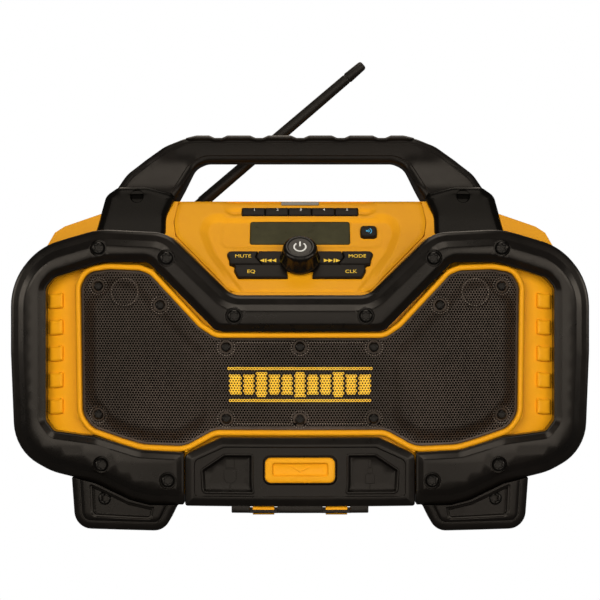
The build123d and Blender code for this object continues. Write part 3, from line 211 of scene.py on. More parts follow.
def within(spots: Array, ring: Array) -> Array:
    """Distance of spots inside a closed ring, below 0 outside it.

    The size is the distance to the nearest edge; the sign comes from counting the edges
    that a level line from the spot crosses.

    Args:
        spots: x and z of each spot.
        ring: x and z of the ring's points.

    Returns:
        One distance for each spot.
    """
    start, end = ring, np.roll(ring, -1, 0)
    z = spots[:, 1:2]
    spans = (start[:, 1] > z) != (end[:, 1] > z)
    rise = end[:, 1] - start[:, 1]
    cross = start[:, 0] + (z - start[:, 1]) * (end[:, 0] - start[:, 0]) / np.where(rise == 0, TINY, rise)
    odd = ((spans & (cross > spots[:, :1])).sum(1) % 2) == 1
    gap = edge_gap(spots, start, end)
    return np.where(odd, gap, -gap)


def soften(share: Array) -> Array:
    """Smooth step from 0 to 1 as the share grows from 0 to 1."""
    share = np.clip(share, 0, 1)
    return share * share * (3 - 2 * share)


def bell(off: Array, width: float) -> Array:
    """Round ridge: 1 where the offset is 0, falling to almost 0 at two widths."""
    return np.exp(-((off / width) ** 2))


def both_sides(spots: Sequence[Spot]) -> list[Spot]:
    """Spots and their mirror images, left before right, each spot once."""
    return list(dict.fromkeys((side.value * x, z) for x, z in spots for side in Side))


class Side(Enum):
    """Left and right half, as the sign of X."""

    left = -1
    right = 1


class End(Enum):
    """Front and rear end, as the sign of Y."""

    front = -1
    rear = 1


class Shape(Protocol):
    """Closed flat shape that can be drawn in."""

    def ring(self, inset: float | Array = 0.0) -> Array:
        """Points of the shape, moved inwards."""


@dataclass(frozen=True)
class Disc:
    """Round shape about a spot."""

    x: float
    z: float
    radius: float
    count: int = 32

    def ring(self, inset: float | Array = 0.0) -> Array:
        """Points of the circle, with a smaller radius for an inset.

        Args:
            inset: how far the points move in.

        Returns:
            One row of x and z for each point.
        """
        angle = np.linspace(0, 2 * math.pi, self.count, endpoint=False)
        reach = max(self.radius - float(np.max(inset)), 0.01)
        return np.stack([self.x + reach * np.cos(angle), self.z + reach * np.sin(angle)], 1)


@dataclass(frozen=True)
class Loop:
    """Closed shape given by its points; an inset draws them towards their middle."""

    points: tuple[Spot, ...]

    @classmethod
    def of(cls, spots: Array) -> "Loop":
        """Shape from rows of x and z."""
        return cls(tuple(map(tuple, spots.tolist())))

    def ring(self, inset: float | Array = 0.0) -> Array:
        """Points of the shape, scaled about their mean so that the farthest moves by the inset.

        Args:
            inset: how far the farthest point moves in.

        Returns:
            One row of x and z for each point.
        """
        spots = np.array(self.points)
        off = spots - spots.mean(0)
        return spots.mean(0) + off * (1 - float(np.max(inset)) / np.abs(off).max())


@dataclass(frozen=True)
class Outline:
    """Closed outline of straight sides and round corners, anticlockwise.

    Attributes:
        corners: x, z and radius of each corner.
        pitch: longest straight run between two points.
        steps: points on each round corner.
    """

    corners: tuple[Corner, ...]
    pitch: float = 6.0
    steps: int = 9

    @classmethod
    def mirrored(cls, left: Sequence[Corner], pitch: float = 6.0) -> "Outline":
        """Outline from its left half, top to bottom, and that half's mirror image."""
        return cls((*left, *((-x, z, r) for x, z, r in reversed(left))), pitch)

    @classmethod
    def box(cls, low: Spot, high: Spot, radius: float, pitch: float = 6.0) -> "Outline":
        """Rectangle between two corners, with one radius."""
        (x0, z0), (x1, z1) = low, high
        return cls(((x1, z0, radius), (x1, z1, radius), (x0, z1, radius), (x0, z0, radius)), pitch)

    def flipped(self) -> "Outline":
        """Mirror image of the outline, left to right."""
        return replace(self, corners=tuple((-x, z, r) for x, z, r in reversed(self.corners)))

    @cached_property
    def runs(self) -> Array:
        """Number of points on the straight side that leaves each corner.

        Returns:
            One number for each side, so that no run is longer than the pitch.
        """
        spots = np.array(self.corners)[:, :2]
        length = np.linalg.norm(np.roll(spots, -1, 0) - spots, axis=1)
        return np.maximum(np.ceil(length / self.pitch).astype(int) - 1, 0)

    def ring(self, inset: float | Array = 0.0) -> Array:
        """Points of the outline with its sides moved inwards.

        Each corner is where its two moved sides cross. Its arc keeps the first arc's middle:
        a convex corner's radius shrinks by the inset and a hollow corner's grows by it.

        Args:
            inset: how far the sides move in, one value or one for each side.

        Returns:
            One row of x and z for each point.
        """
        spots = np.array(self.corners)[:, :2]
        along = np.roll(spots, -1, 0) - spots
        along = along / np.linalg.norm(along, axis=1, keepdims=True)
        after = np.stack([along[:, 1], -along[:, 0]], 1)
        before = np.roll(after, 1, 0)
        in_after = np.broadcast_to(np.asarray(inset, float), len(spots))
        in_before = np.roll(in_after, 1)
        reach = np.stack([(before * spots).sum(1) - in_before, (after * spots).sum(1) - in_after], 1)
        moved = np.linalg.solve(np.stack([before, after], 1), reach[..., None])[..., 0]
        level = (before * after).sum(1)
        turn = np.arctan2(before[:, 0] * after[:, 1] - before[:, 1] * after[:, 0], level)
        bend = np.sign(turn)
        radius = bend * np.maximum(np.array(self.corners)[:, 2] - bend * (in_before + in_after) / 2, 0.05)
        middle = moved - radius[:, None] * (before + after) / (1 + level)[:, None]
        start = np.arctan2(before[:, 1], before[:, 0])
        angle = start[:, None] + turn[:, None] * np.linspace(0, 1, self.steps)
        arcs = middle[:, None] + radius[:, None, None] * np.stack([np.cos(angle), np.sin(angle)], -1)
        parts = []
        for arc, end, run in zip(arcs, np.roll(arcs[:, 0], -1, 0), self.runs):
            share = np.arange(1, run + 1)[:, None] / (run + 1)
            parts += [arc, arc[-1] + share * (end - arc[-1])]
        return np.concatenate(parts)

    def by_side(self, values: float | Array) -> Array:
        """Value at each ring point: even along a side and blended round a corner.

        Args:
            values: one value, or one for each side.

        Returns:
            One value for each point of the ring.
        """
        after = np.broadcast_to(np.asarray(values, float), len(self.corners))
        before = np.roll(after, 1)
        share = np.linspace(0, 1, self.steps)
        parts = []
        for a, b, run in zip(before, after, self.runs):
            parts += [a + share * (b - a), np.full(run, b)]
        return np.concatenate(parts)

    def by_corner(self, values: Array) -> Array:
        """Value at each ring point: even round a corner and graded along a side.

        Args:
            values: one value for each corner.

        Returns:
            One value for each point of the ring.
        """
        parts = []
        for a, b, run in zip(values, np.roll(values, -1), self.runs):
            parts += [np.full(self.steps, a), a + np.arange(1, run + 1) / (run + 1) * (b - a)]
        return np.concatenate(parts)


@dataclass(frozen=True)
class Row:
    """One ring of a carried profile.

    Attributes:
        inset: how far the ring lies inside the outline, one value or one for each side.
        depth: depth on the seat: one value, one for each side, or a rule from x and z.
        graded: True if the depths belong to the corners and not to the sides.
        seat: the surface that the ring lies on, if it isn't the piece's own.
    """

    inset: float | Sequence[float]
    depth: float | Sequence[float] | Relief
    graded: bool = False
    seat: Seat | None = None

    def place(self, shape: Shape, seat: Seat) -> Array:
        """Points of the ring in space.

        Args:
            shape: the shape that the ring lies in.
            seat: surface of the piece, for a row without its own.

        Returns:
            One point for each point of the shape's ring.
        """
        ring = shape.ring(np.asarray(self.inset, float))
        if callable(self.depth):
            depth = self.depth(ring)
        elif np.ndim(self.depth) == 0:
            depth = np.full(len(ring), float(self.depth))
        else:
            depth = (shape.by_corner if self.graded else shape.by_side)(np.asarray(self.depth, float))
        return (self.seat or seat)(ring[:, 0], ring[:, 1], depth)


def rows(*pairs: Spot) -> list[Row]:
    """Profile rows from pairs of inset and depth."""
    return [Row(inset, depth) for inset, depth in pairs]


@dataclass(frozen=True)
class Pocket:
    """Hollow or raised field in a face.

    Attributes:
        shape: its rim.
        profile: insets and depths on the piece's seat, from the rim to the floor.
        floored: False leaves it open behind its last row.
    """

    shape: Shape
    profile: tuple[Spot, ...]
    floored: bool = True


# ---------------------------------------------------------------- meshes
class Skin:
    """Points and faces of one piece, gathered part by part.

    Attributes:
        row_share: distance between the rows of a staggered grid, as a share of its pitch.
        edge_room: least distance from an inner point to an edge, as a share of the pitch.
        merge: distance in metres at which two points become one.
        shortest: length in metres under which an edge is dissolved.
    """

    row_share = 0.866
    edge_room = 0.3
    merge = 2e-6
    shortest = 1e-7

    def __init__(self) -> None:
        """Starts with no points."""
        self.points: list[Array] = []
        self.faces: list[Array] = []
        self.count = 0

    def add(self, points: Array, faces: Array) -> None:
        """Adds points with their faces.

        Args:
            points: places in space, in rows of any number.
            faces: point numbers of each face, counted from the first of these points.
        """
        self.faces.append(np.asarray(faces) + self.count)
        self.points.append(points.reshape(-1, 3))
        self.count += len(self.points[-1])

    def grid(self, lines: Array, closed: bool = True, looped: bool = False) -> None:
        """Joins lines of points with four-sided faces.

        Args:
            lines: points as (line, place on the line, 3).
            closed: True if each line's last point meets its first.
            looped: True if the last line meets the first.
        """
        index = np.arange(lines.shape[0] * lines.shape[1]).reshape(lines.shape[:2])
        if closed:
            index = np.concatenate([index, index[:, :1]], 1)
        if looped:
            index = np.concatenate([index, index[:1]], 0)
        corners = [index[:-1, :-1], index[:-1, 1:], index[1:, 1:], index[1:, :-1]]
        self.add(lines, np.stack(corners, -1).reshape(-1, 4))

    def face(
        self,
        rim: Array,
        place: Place,
        pitch: float,
        creases: Sequence[Array] = (),
        holes: Sequence[Array] = (),
    ) -> None:
        """Fills a flat rim with triangles over a staggered grid of inner points.

        Args:
            rim: x and z round the face.
            place: takes flat spots to their place in space.
            pitch: distance between inner points.
            creases: rings that the triangles' edges keep to.
            holes: rings that stay open.
        """
        rings = [rim, *creases, *holes]
        low, high = rim.min(0), rim.max(0)
        steps = (pitch, pitch * self.row_share)
        grid = np.stack(np.meshgrid(*(np.arange(a, b, s) for a, b, s in zip(low, high, steps))), -1)
        grid[1::2, :, 0] += pitch / 2
        inner = grid.reshape(-1, 2)
        room = self.edge_room * pitch
        inner = inner[within(inner, rim) > room]
        for ring in rings[1:]:
            inner = inner[edge_gap(inner, ring, np.roll(ring, -1, 0)) > room] if len(inner) else inner
        starts = np.cumsum([0, *(len(ring) for ring in rings)])
        sides = [(s + i, s + (i + 1) % len(ring)) for s, ring in zip(starts, rings) for i in range(len(ring))]
        spots = [Vector(spot) for spot in np.concatenate([*rings, inner]).tolist()]
        flat, _, faces, *_ = delaunay_2d_cdt(spots, sides, [], 1, 1e-5)
        flat, faces = np.array([spot[:] for spot in flat]), np.array(faces)
        middle = flat[faces].mean(1)
        for hole in holes:
            faces, middle = (part[within(middle, hole) < 0] for part in (faces, middle))
        self.add(place(flat), faces)

    def carry(
        self,
        shape: Shape,
        profile: Sequence[Row],
        seat: Seat,
        looped: bool = False,
        pitch: float = 8.0,
        pockets: Sequence[Pocket] = (),
        ends: tuple[bool, bool] = (True, True),
    ) -> "Skin":
        """Carries a profile round a shape and closes its two ends.

        Args:
            shape: the path of the profile.
            profile: rings from the back to the front.
            seat: surface that the piece is laid on.
            looped: True if the profile closes on itself, which leaves the middle open.
            pitch: distance between the points inside the end faces.
            pockets: hollows or raised fields in the front face.
            ends: whether the back and the front are closed.

        Returns:
            The skin itself.
        """
        self.grid(np.stack([row.place(shape, seat) for row in profile]), looped=looped)
        for row, end, holes in ((profile[0], ends[0], ()), (profile[-1], ends[1], pockets)):
            if looped or not end:
                continue
            ring = shape.ring(np.asarray(row.inset, float))
            level = float(np.max(row.depth))
            under = row.seat or seat
            place = laid(under, level)
            self.face(ring, place, pitch, holes=[pocket.shape.ring() for pocket in holes])
            for pocket in holes:
                self.sink(pocket, place, under, pitch)
        return self

    def sink(self, pocket: Pocket, rim: Place, seat: Seat, pitch: float = 6.0) -> None:
        """Adds a pocket's wall and floor, from the rim in a face.

        Args:
            pocket: the hollow or raised field.
            rim: places the pocket's rim in the face.
            seat: surface that its other rows are laid on.
            pitch: distance between the points inside the floor.
        """
        lines = [rim(pocket.shape.ring())]
        lines += [Row(inset, depth).place(pocket.shape, seat) for inset, depth in pocket.profile]
        self.grid(np.stack(lines))
        if pocket.floored:
            inset, depth = pocket.profile[-1]
            self.face(pocket.shape.ring(np.array(inset)), laid(seat, depth), pitch)

    def lathe(
        self,
        profile: Sequence[Spot],
        origin: Sequence[float],
        axis: Sequence[float],
        count: int = 40,
        wave: Callable[[Array, Array], Array] | None = None,
    ) -> "Skin":
        """Turns a profile of radius and height about an axis, from pole to pole.

        Args:
            profile: radius and height of each ring; both ends have radius 0.
            origin: point of height 0.
            axis: direction of growing height.
            count: points round each ring.
            wave: factor on the radius from the angle and the ring's number.

        Returns:
            The skin itself.
        """
        up = np.array(axis, float) / np.linalg.norm(axis)
        side = np.cross(up, (0.0, 1.0, 0.0) if abs(up[1]) < 0.9 else (1.0, 0.0, 0.0))
        side /= np.linalg.norm(side)
        radius, height = np.array(profile, float).T
        angle = np.linspace(0, 2 * math.pi, count, endpoint=False)
        factor = wave(angle[None], np.arange(len(radius))[:, None]) if wave else 1.0
        reach = (radius[:, None] * factor * np.ones(count))[..., None]
        turned = reach * (np.cos(angle)[:, None] * side + np.sin(angle)[:, None] * np.cross(up, side))
        self.grid(np.array(origin) + turned + height[:, None, None] * up)
        return self

    def mirror(self, way: tuple[int, int, int] = (-1, 1, 1)) -> "Skin":
        """Turns all points so far into their mirror image, left to right if not said."""
        self.points = [points * way for points in self.points]
        return self

    def build(self, name: str, sharp: float = 30.0) -> bpy.types.Object:
        """Makes the mesh object: doubles merged, faces outwards, edges sharp past an angle.

        Args:
            name: of the object and its mesh.
            sharp: angle in degrees past which an edge isn't shaded smooth.

        Returns:
            The object, in the scene.
        """
        mesh = bpy.data.meshes.new(name)
        faces = [face for block in self.faces for face in block.tolist()]
        mesh.from_pydata((np.concatenate(self.points) * MM).tolist(), [], faces)
        shape = bmesh.new()
        shape.from_mesh(mesh)
        bmesh.ops.remove_doubles(shape, verts=shape.verts, dist=self.merge)
        bmesh.ops.dissolve_degenerate(shape, edges=shape.edges, dist=self.shortest)
        bmesh.ops.delete(shape, geom=[vert for vert in shape.verts if not vert.link_faces], context="VERTS")
        bmesh.ops.recalc_face_normals(shape, faces=shape.faces)
        shape.to_mesh(mesh)
        shape.free()
        mesh.shade_smooth()
        mesh.set_sharp_from_angle(angle=math.radians(sharp))
        piece = bpy.data.objects.new(name, mesh)
        bpy.context.scene.collection.objects.link(piece)
        return piece


# ---------------------------------------------------------------- finishes
Rgb = tuple[int, int, int]


def linear(colour: Rgb) -> tuple[float, float, float, float]:
    """Scene colour of a display colour, by undoing the display's curve.

    Args:
        colour: red, green and blue from 0 to 255.

    Returns:
        Red, green and blue from 0 to 1, and full cover.
    """
    share = np.array(colour) / 255
    light = np.where(share <= 0.04045, share / 12.92, ((share + 0.055) / 1.055) ** 2.4)
    return (*(float(part) for part in light), 1.0)


class Val:
    """Value in a shader graph; Python operators on it add Math nodes."""

    def __init__(self, graph: "Graph", socket: bpy.types.NodeSocket) -> None:
        """Wraps an output socket."""
        self.graph = graph
        self.socket = socket

    def math(self, operation: str, *others: "Val | float", first: "Val | float | None" = None) -> "Val":
        """Math node on this value and others, or on a first value and this one.

        Args:
            operation: what the node works out.
            others: values that follow this one.
            first: value that stands before this one.

        Returns:
            The node's result.
        """
        terms = (self, *others) if first is None else (first, self)
        node = self.graph.node("ShaderNodeMath", {"operation": operation}, dict(enumerate(terms)))
        return Val(self.graph, node.outputs[0])

    def __add__(self, other: "Val | float") -> "Val":
        """Sum."""
        return self.math("ADD", other)

    __radd__ = __add__

    def __mul__(self, other: "Val | float") -> "Val":
        """Product."""
        return self.math("MULTIPLY", other)

    __rmul__ = __mul__

    def __sub__(self, other: "Val | float") -> "Val":
        """Difference."""
        return self.math("SUBTRACT", other)

    def __rsub__(self, other: float) -> "Val":
        """Difference from a number."""
        return self.math("SUBTRACT", first=other)

    def step(self, low: float, high: float) -> "Val":
        """Smooth step from 0 to 1.

        Args:
            low: value up to which it is 0.
            high: value from which it is 1.

        Returns:
            The step's value.
        """
        smooth = {"interpolation_type": "SMOOTHSTEP"}
        node = self.graph.node("ShaderNodeMapRange", smooth, {0: self, 1: low, 2: high})
        return Val(self.graph, node.outputs[0])


class Graph:
    """Shader graph of one material."""

    def __init__(self, name: str) -> None:
        """Makes an empty material with object coordinates in millimetres.

        Args:
            name: of the material.
        """
        self.material = bpy.data.materials.new(name)
        self.material.use_nodes = True
        self.tree = self.material.node_tree
        self.tree.nodes.clear()
        spots = self.node("ShaderNodeTexCoord").outputs["Object"]
        self.at = self.node("ShaderNodeVectorMath", {"operation": "SCALE"}, {0: spots, 3: 1 / MM}).outputs[0]

    def node(self, kind: str, settings: dict | None = None, inputs: dict | None = None) -> bpy.types.Node:
        """Adds any node.

        Args:
            kind: the node's type.
            settings: its properties.
            inputs: values, sockets or wrapped values by input name or number.

        Returns:
            The node.
        """
        node = self.tree.nodes.new(kind)
        for key, value in (settings or {}).items():
            setattr(node, key, value)
        for key, value in (inputs or {}).items():
            source = value.socket if isinstance(value, Val) else value
            if isinstance(source, bpy.types.NodeSocket):
                self.tree.links.new(source, node.inputs[key])
            else:
                node.inputs[key].default_value = source
        return node

    def noise(self, size: float, detail: float = 3.0, stretch: Vector | None = None) -> Val:
        """Noise about 0.5.

        Args:
            size: size of its patches, in millimetres.
            detail: how many finer layers it has.
            stretch: factors on the coordinates, for drawn-out patches.

        Returns:
            The noise's value.
        """
        at = self.at
        if stretch is not None:
            at = self.node("ShaderNodeVectorMath", {"operation": "MULTIPLY"}, {0: at, 1: stretch}).outputs[0]
        node = self.node("ShaderNodeTexNoise", {}, {"Vector": at, "Scale": 1 / size, "Detail": detail})
        return Val(self, node.outputs["Fac"])

    def mix(self, share: Val, first: object, second: object) -> bpy.types.NodeSocket:
        """Colour between two colours."""
        node = self.node("ShaderNodeMix", {"data_type": "RGBA"}, {0: share, 6: first, 7: second})
        return node.outputs[2]


CLOUD, MOTTLE, SCRATCH = 55.0, 7.0, 1.6  # sizes of the patches and scratches on every finish, in millimetres


@dataclass(frozen=True)
class Finish:
    """Surface of a material slot.

    Attributes:
        colour: display colour.
        shade: colour of its darker patches.
        worn: colour of rubbed edges.
        rough: roughness.
        spread: how much the roughness varies.
        metal: 1 for bare metal.
        coat: strength of a clear skin.
        grain: size of the surface grain, in millimetres.
        relief: height of the grain, in millimetres.
        edge: radius that the shading rounds edges by, in millimetres.
        wear: how much the edges are rubbed.
        streak: stretch of the scratches along X, 1 for none.
        sheen: specular level.
    """

    colour: Rgb
    shade: Rgb
    worn: Rgb
    rough: float
    spread: float = 0.12
    metal: float = 0.0
    coat: float = 0.0
    grain: float = 0.8
    relief: float = 0.02
    edge: float = 0.5
    wear: float = 0.35
    streak: float = 1.0
    sheen: float = 0.5

    def paint(self, name: str) -> bpy.types.Material:
        """Builds the material: mottled colour, grain, fine scratches and rubbed edges.

        Args:
            name: of the material.

        Returns:
            The material.
        """
        graph = Graph(name)
        cloud = graph.noise(CLOUD)
        mottle = graph.noise(MOTTLE, 4.0)
        grain = graph.noise(self.grain, 2.0)
        scratch = graph.noise(SCRATCH, 3.0, Vector((1 / self.streak, 1.0, 1.0))).step(0.62, 0.72)
        soft = graph.node("ShaderNodeBevel", {"samples": 6}, {"Radius": self.edge * MM}).outputs[0]
        plain = graph.node("ShaderNodeNewGeometry").outputs["Normal"]
        meet = graph.node("ShaderNodeVectorMath", {"operation": "DOT_PRODUCT"}, {0: soft, 1: plain})
        rim = (1.0 - Val(graph, meet.outputs["Value"])).step(0.03, 0.22) * (mottle * 1.6 - 0.25)
        patch = (cloud * 0.65 + mottle * 0.35).step(0.35, 0.68)
        colour = graph.mix(patch, linear(self.shade), linear(self.colour))
        colour = graph.mix(rim * self.wear, colour, linear(self.worn))
        rough = self.rough + (mottle - 0.5) * self.spread + (cloud - 0.5) * self.spread - rim * 0.08
        height = grain * 0.8 + scratch * 0.35 + mottle * 0.3
        raised = {"Strength": 1.0, "Distance": self.relief * MM, "Height": height, "Normal": soft}
        bump = graph.node("ShaderNodeBump", {}, raised)
        surface = {
            "Base Color": colour,
            "Roughness": rough,
            "Metallic": self.metal,
            "Coat Weight": self.coat,
            "Coat Roughness": 0.12,
            "Specular IOR Level": self.sheen,
            "Normal": bump.outputs[0],
        }
        shader = graph.node("ShaderNodeBsdfPrincipled", {}, surface)
        graph.node("ShaderNodeOutputMaterial", {}, {0: shader.outputs[0]})
        return graph.material


class Paint(Enum):
    """Finishes of the record's material slots and of the prints on them."""

    yellow_shell = Finish(
        (239, 166, 24), (235, 160, 22), (250, 190, 66), 0.42, grain=0.7, relief=0.012, wear=0.3, sheen=0.2
    )
    black_bumper = Finish((19, 16, 14), (15, 13, 11), (58, 52, 46), 0.3, grain=0.9, relief=0.01)
    handle_plastic = Finish(
        (19, 16, 14), (15, 13, 11), (60, 55, 49), 0.36, grain=0.9, relief=0.015, sheen=0.34
    )
    grip_rubber = Finish(
        (20, 17, 15), (16, 14, 12), (54, 50, 46), 0.46, grain=0.5, relief=0.02, wear=0.3, sheen=0.35
    )
    grille_metal = Finish((84, 74, 66), (68, 60, 53), (104, 94, 86), 0.4, metal=0.3, relief=0.004, edge=0.1)
    emblem_yellow = Finish((255, 206, 62), (252, 196, 48), (255, 214, 96), 0.5, relief=0.004, edge=0.1)
    screw_steel = Finish((13, 12, 11), (10, 9, 8), (84, 78, 72), 0.26, relief=0.004, edge=0.1, wear=0.6)
    pin_steel = Finish(
        (120, 118, 114), (100, 98, 95), (180, 178, 174), 0.32, metal=1.0, relief=0.005, edge=0.1
    )
    display_glass = Finish(
        (68, 66, 44), (55, 53, 34), (90, 84, 66), 0.3, grain=2.0, relief=0.002, edge=0.1, sheen=0.08
    )
    display_module = Finish((92, 96, 84), (80, 84, 72), (130, 132, 120), 0.4, relief=0.004, edge=0.2)
    circuit_board = Finish((24, 92, 52), (18, 72, 40), (160, 130, 60), 0.4, coat=0.4, relief=0.01, edge=0.1)
    key_rubber = Finish(
        (22, 19, 16), (18, 15, 13), (50, 46, 42), 0.42, grain=0.4, relief=0.008, edge=0.2, sheen=0.2
    )
    # Painted shade: the handle plastic made darker and less glossy for the mounts, which look darker than the
    # legs under the light.
    mount_plastic = Finish(
        (13, 12, 10), (10, 9, 8), (58, 53, 47), 0.24, grain=0.9, relief=0.008, sheen=0.09
    )
    knob_plastic = Finish(
        (15, 14, 12), (11, 10, 9), (50, 46, 42), 0.24, coat=0.1, relief=0.004, edge=0.2, sheen=0.4
    )
    inner_plastic = Finish((44, 43, 42), (36, 35, 34), (80, 78, 76), 0.5, grain=0.8, relief=0.02)
    speaker_steel = Finish((96, 94, 92), (80, 78, 76), (150, 148, 146), 0.4, metal=0.9, relief=0.006)
    cone_paper = Finish((30, 29, 28), (24, 23, 22), (50, 48, 46), 0.8, grain=1.4, relief=0.05, wear=0.1)
    surround_rubber = Finish((20, 19, 19), (16, 15, 15), (44, 42, 41), 0.6, grain=0.4, relief=0.01)
    antenna_rubber = Finish((24, 21, 18), (19, 17, 15), (70, 66, 62), 0.42, grain=0.5, relief=0.015)
    badge_metal = Finish(
        (132, 132, 130), (112, 112, 110), (190, 190, 188), 0.38, metal=0.6, streak=18.0, edge=0.15
    )
    contact_brass = Finish((190, 150, 80), (170, 132, 66), (222, 190, 120), 0.35, metal=1.0, relief=0.004)
    # Painted highlight: lighter metal for the grille's small domes, standing for glints where the pressed
    # sheet catches light.
    bright_metal = Finish(
        (150, 141, 132), (132, 122, 112), (180, 172, 164), 0.36, metal=0.4, relief=0.004, edge=0.1
    )
    cloth = Finish((9, 8, 8), (6, 6, 6), (16, 15, 14), 0.95, grain=0.6, relief=0.04, wear=0.1, sheen=0.1)
    white_ink = Finish((236, 236, 232), (226, 226, 222), (214, 212, 206), 0.5, relief=0.004, edge=0.05)
    yellow_ink = Finish((255, 214, 62), (252, 206, 54), (240, 196, 70), 0.5, relief=0.004, edge=0.05)
    blue_ink = Finish((70, 176, 226), (60, 164, 214), (110, 190, 226), 0.5, relief=0.004, edge=0.05)

    def coat(self, piece: bpy.types.Object) -> None:
        """Gives a piece this finish, in a material that all pieces with it share.

        Args:
            piece: the piece.
        """
        name = f"{self.name}_finish"
        material = bpy.data.materials.get(name) or self.value.paint(name)
        piece.data.materials.clear()
        piece.data.materials.append(material)


def settle(piece: bpy.types.Object, paint: Paint, body: str, *nodes: str, slot: str | None = None) -> None:
    """Finishes a piece, sets it under its CAD body's empty and hides the CAD nodes it stands for.

    Args:
        piece: the piece, in its place.
        paint: its finish.
        body: CAD body that it rides on.
        nodes: CAD nodes that it stands for.
        slot: not used.
    """
    paint.coat(piece)
    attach(piece, body)
    slot or paint.name
    if nodes:
        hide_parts(*nodes)
    LOG.info("%s on %s, %d faces", piece.name, body, len(piece.data.polygons))


# ---------------------------------------------------------------- sub-assemblies
@dataclass(frozen=True)
class Band:
    """Outline of a limb between an outer and an inner line, open at its lower ends.

    Attributes:
        outer: left half of the outer line, top to bottom.
        inner: left half of the inner line, bottom to top.
    """

    outer: tuple[Corner, ...]
    inner: tuple[Corner, ...]

    @cached_property
    def outline(self) -> Outline:
        """The band's closed outline."""
        return Outline.mirrored((*self.outer, *self.inner), 5.0)

    def sides(self, outer: float, end: float, inner: float) -> list[float]:
        """Values for the outline's sides, by the line that each belongs to."""
        a, b = len(self.outer), len(self.inner)
        return [outer] * (a - 1) + [end] + [inner] * (2 * b - 1) + [end] + [outer] * a

    def distances(self, spots: Array) -> tuple[Array, Array]:
        """Distances of spots to the outer line and to the inner line with the ends.

        Args:
            spots: x and z of each spot.

        Returns:
            The two distances of each spot.
        """
        ring = self.outline.ring()
        flag = self.outline.by_side(self.sides(1.0, 0.0, 0.0)) > 0.5
        both = flag & np.roll(flag, -1)
        after = np.roll(ring, -1, 0)
        return edge_gap(spots, ring[both], after[both]), edge_gap(spots, ring[~both], after[~both])


@dataclass
class FrontCage:
    """Front bumper cage: one bent band with a broad bevel, a ledge and screw recesses.

    Attributes:
        band: the band's outline.
        recesses: x and z of the screw recesses in the right half.
        recess_r: radius of a recess.
        recess_deep: depth of a recess.
        skirt: depth of the skirt round the sides.
        bridge_skirt: depth of the skirt at the bridge.
        back: depth of the band's back face.
        edge: height of the bevel on the skirt's edge.
        outer_slope: distances from the outer line, and the front's depth there.
        inner_slope: distances from the inner line, and the front's depth there.
    """

    band: Band = Band(
        outer=(
            (-50.5, 175.0, 16.0), (-98.5, 221.5, 28.0), (-151.0, 224.3, 60.0), (-196.0, 212.0, 50.0),
            (-220.0, 186.0, 50.0), (-220.0, 132.0, 90.0), (-216.8, 57.0, 36.0), (-187.0, 42.0, 50.0),
            (-152.5, 34.8, 30.0), (-126.0, 23.0, 24.0), (-112.0, 19.6, 20.0), (-85.5, 19.6, 2.0),
        ),
        inner=(
            (-85.5, 59.0, 2.0), (-119.0, 60.4, 25.0), (-151.5, 69.7, 25.0), (-184.6, 73.4, 4.0),
            (-191.0, 81.4, 6.0), (-191.0, 180.6, 8.0), (-184.3, 188.0, 8.0), (-147.5, 199.4, 12.0),
            (-113.0, 199.4, 9.0), (-63.2, 149.3, 4.0), (-58.0, 147.8, 3.0),
        ),
    )  # fmt: skip
    recesses: tuple[Spot, ...] = ((150.2, 210.1), (98.9, 202.4), (48.5, 159.6), (147.9, 48.8), (97.7, 37.9))
    recess_r: float = 6.4
    recess_deep: float = 4.0
    skirt: float = 60.0
    bridge_skirt: float = 26.0
    back: float = 17.7
    edge: float = 0.8
    outer_slope: tuple[tuple[float, ...], ...] = (
        (0.25, 1.0, 2.2, 3.2, 6.4, 7.4, 11.2, 12.6),
        (8.6, 7.4, 6.2, 5.6, 4.8, 4.3, 0.7, 0.0),
    )
    inner_slope: tuple[tuple[float, ...], ...] = (
        (0.3, 1.0, 2.2, 2.5, 5.0, 5.6, 6.6),
        (4.6, 4.1, 3.9, 3.4, 0.8, 0.25, 0.0),
    )

    def relief(self, spots: Array) -> Array:
        """Depth of the front: edge round, ledge, bevel and flat, from the distances to both lines.

        Args:
            spots: x and z of each spot.

        Returns:
            The deeper of the outer and the inner slope at each spot.
        """
        outer, inner = self.band.distances(spots)
        return np.maximum(np.interp(outer, *self.outer_slope), np.interp(inner, *self.inner_slope))

    def build(self) -> None:
        """Makes the cage's skin: inner wall and skirt, edge rows and the creased front."""
        sides, outline = self.band.sides, self.band.outline
        a, b = len(self.band.outer), len(self.band.inner)
        reach = [self.bridge_skirt] + [self.skirt] * (a - 1)
        depths = [*reach, *[self.back] * (2 * b), *reversed(reach)]
        before = [max(depth - self.edge, self.back) for depth in depths]
        profile = [
            Row(sides(7.0, 0.4, 0.4), self.back),
            Row(sides(7.0, 0.4, 0.4), before, graded=True),
            Row(sides(6.2, 0.35, 0.35), depths, graded=True),
            Row(sides(0.8, 0.3, 0.3), depths, graded=True),
            Row(sides(0.0, 0.28, 0.28), before, graded=True),
            Row(sides(0.0, 0.25, 0.25), sides(10.5, 6.0, 6.0)),
            *(
                Row(sides(o, i, i), self.relief)
                for o, i in ((0.25, 0.3), (1.0, 0.65), (2.2, 1.0), (3.2, 1.8), (6.4, 2.5))
            ),
        ]
        skin = Skin()
        skin.carry(outline, profile, bow_seat, ends=(True, False))
        holes = [Disc(x, z, self.recess_r) for x, z in both_sides(self.recesses)]
        creases = [outline.ring(np.array(sides(o, i, i))) for o, i in ((7.4, 5.0), (11.2, 5.6), (12.6, 6.6))]
        place = laid(bow_seat, self.relief)
        rim = outline.ring(np.array(sides(6.4, 2.5, 2.5)))
        skin.face(rim, place, 7.0, creases, [hole.ring() for hole in holes])
        for hole in holes:
            level = float(self.relief(np.array([[hole.x, hole.z]]))[0])
            steps = ((0.3, level + 1.6), (0.45, level + self.recess_deep))
            skin.sink(Pocket(hole, steps), place, bow_seat)
        settle(skin.build("front_cage_skin"), Paint.black_bumper, "root", "front_cage")


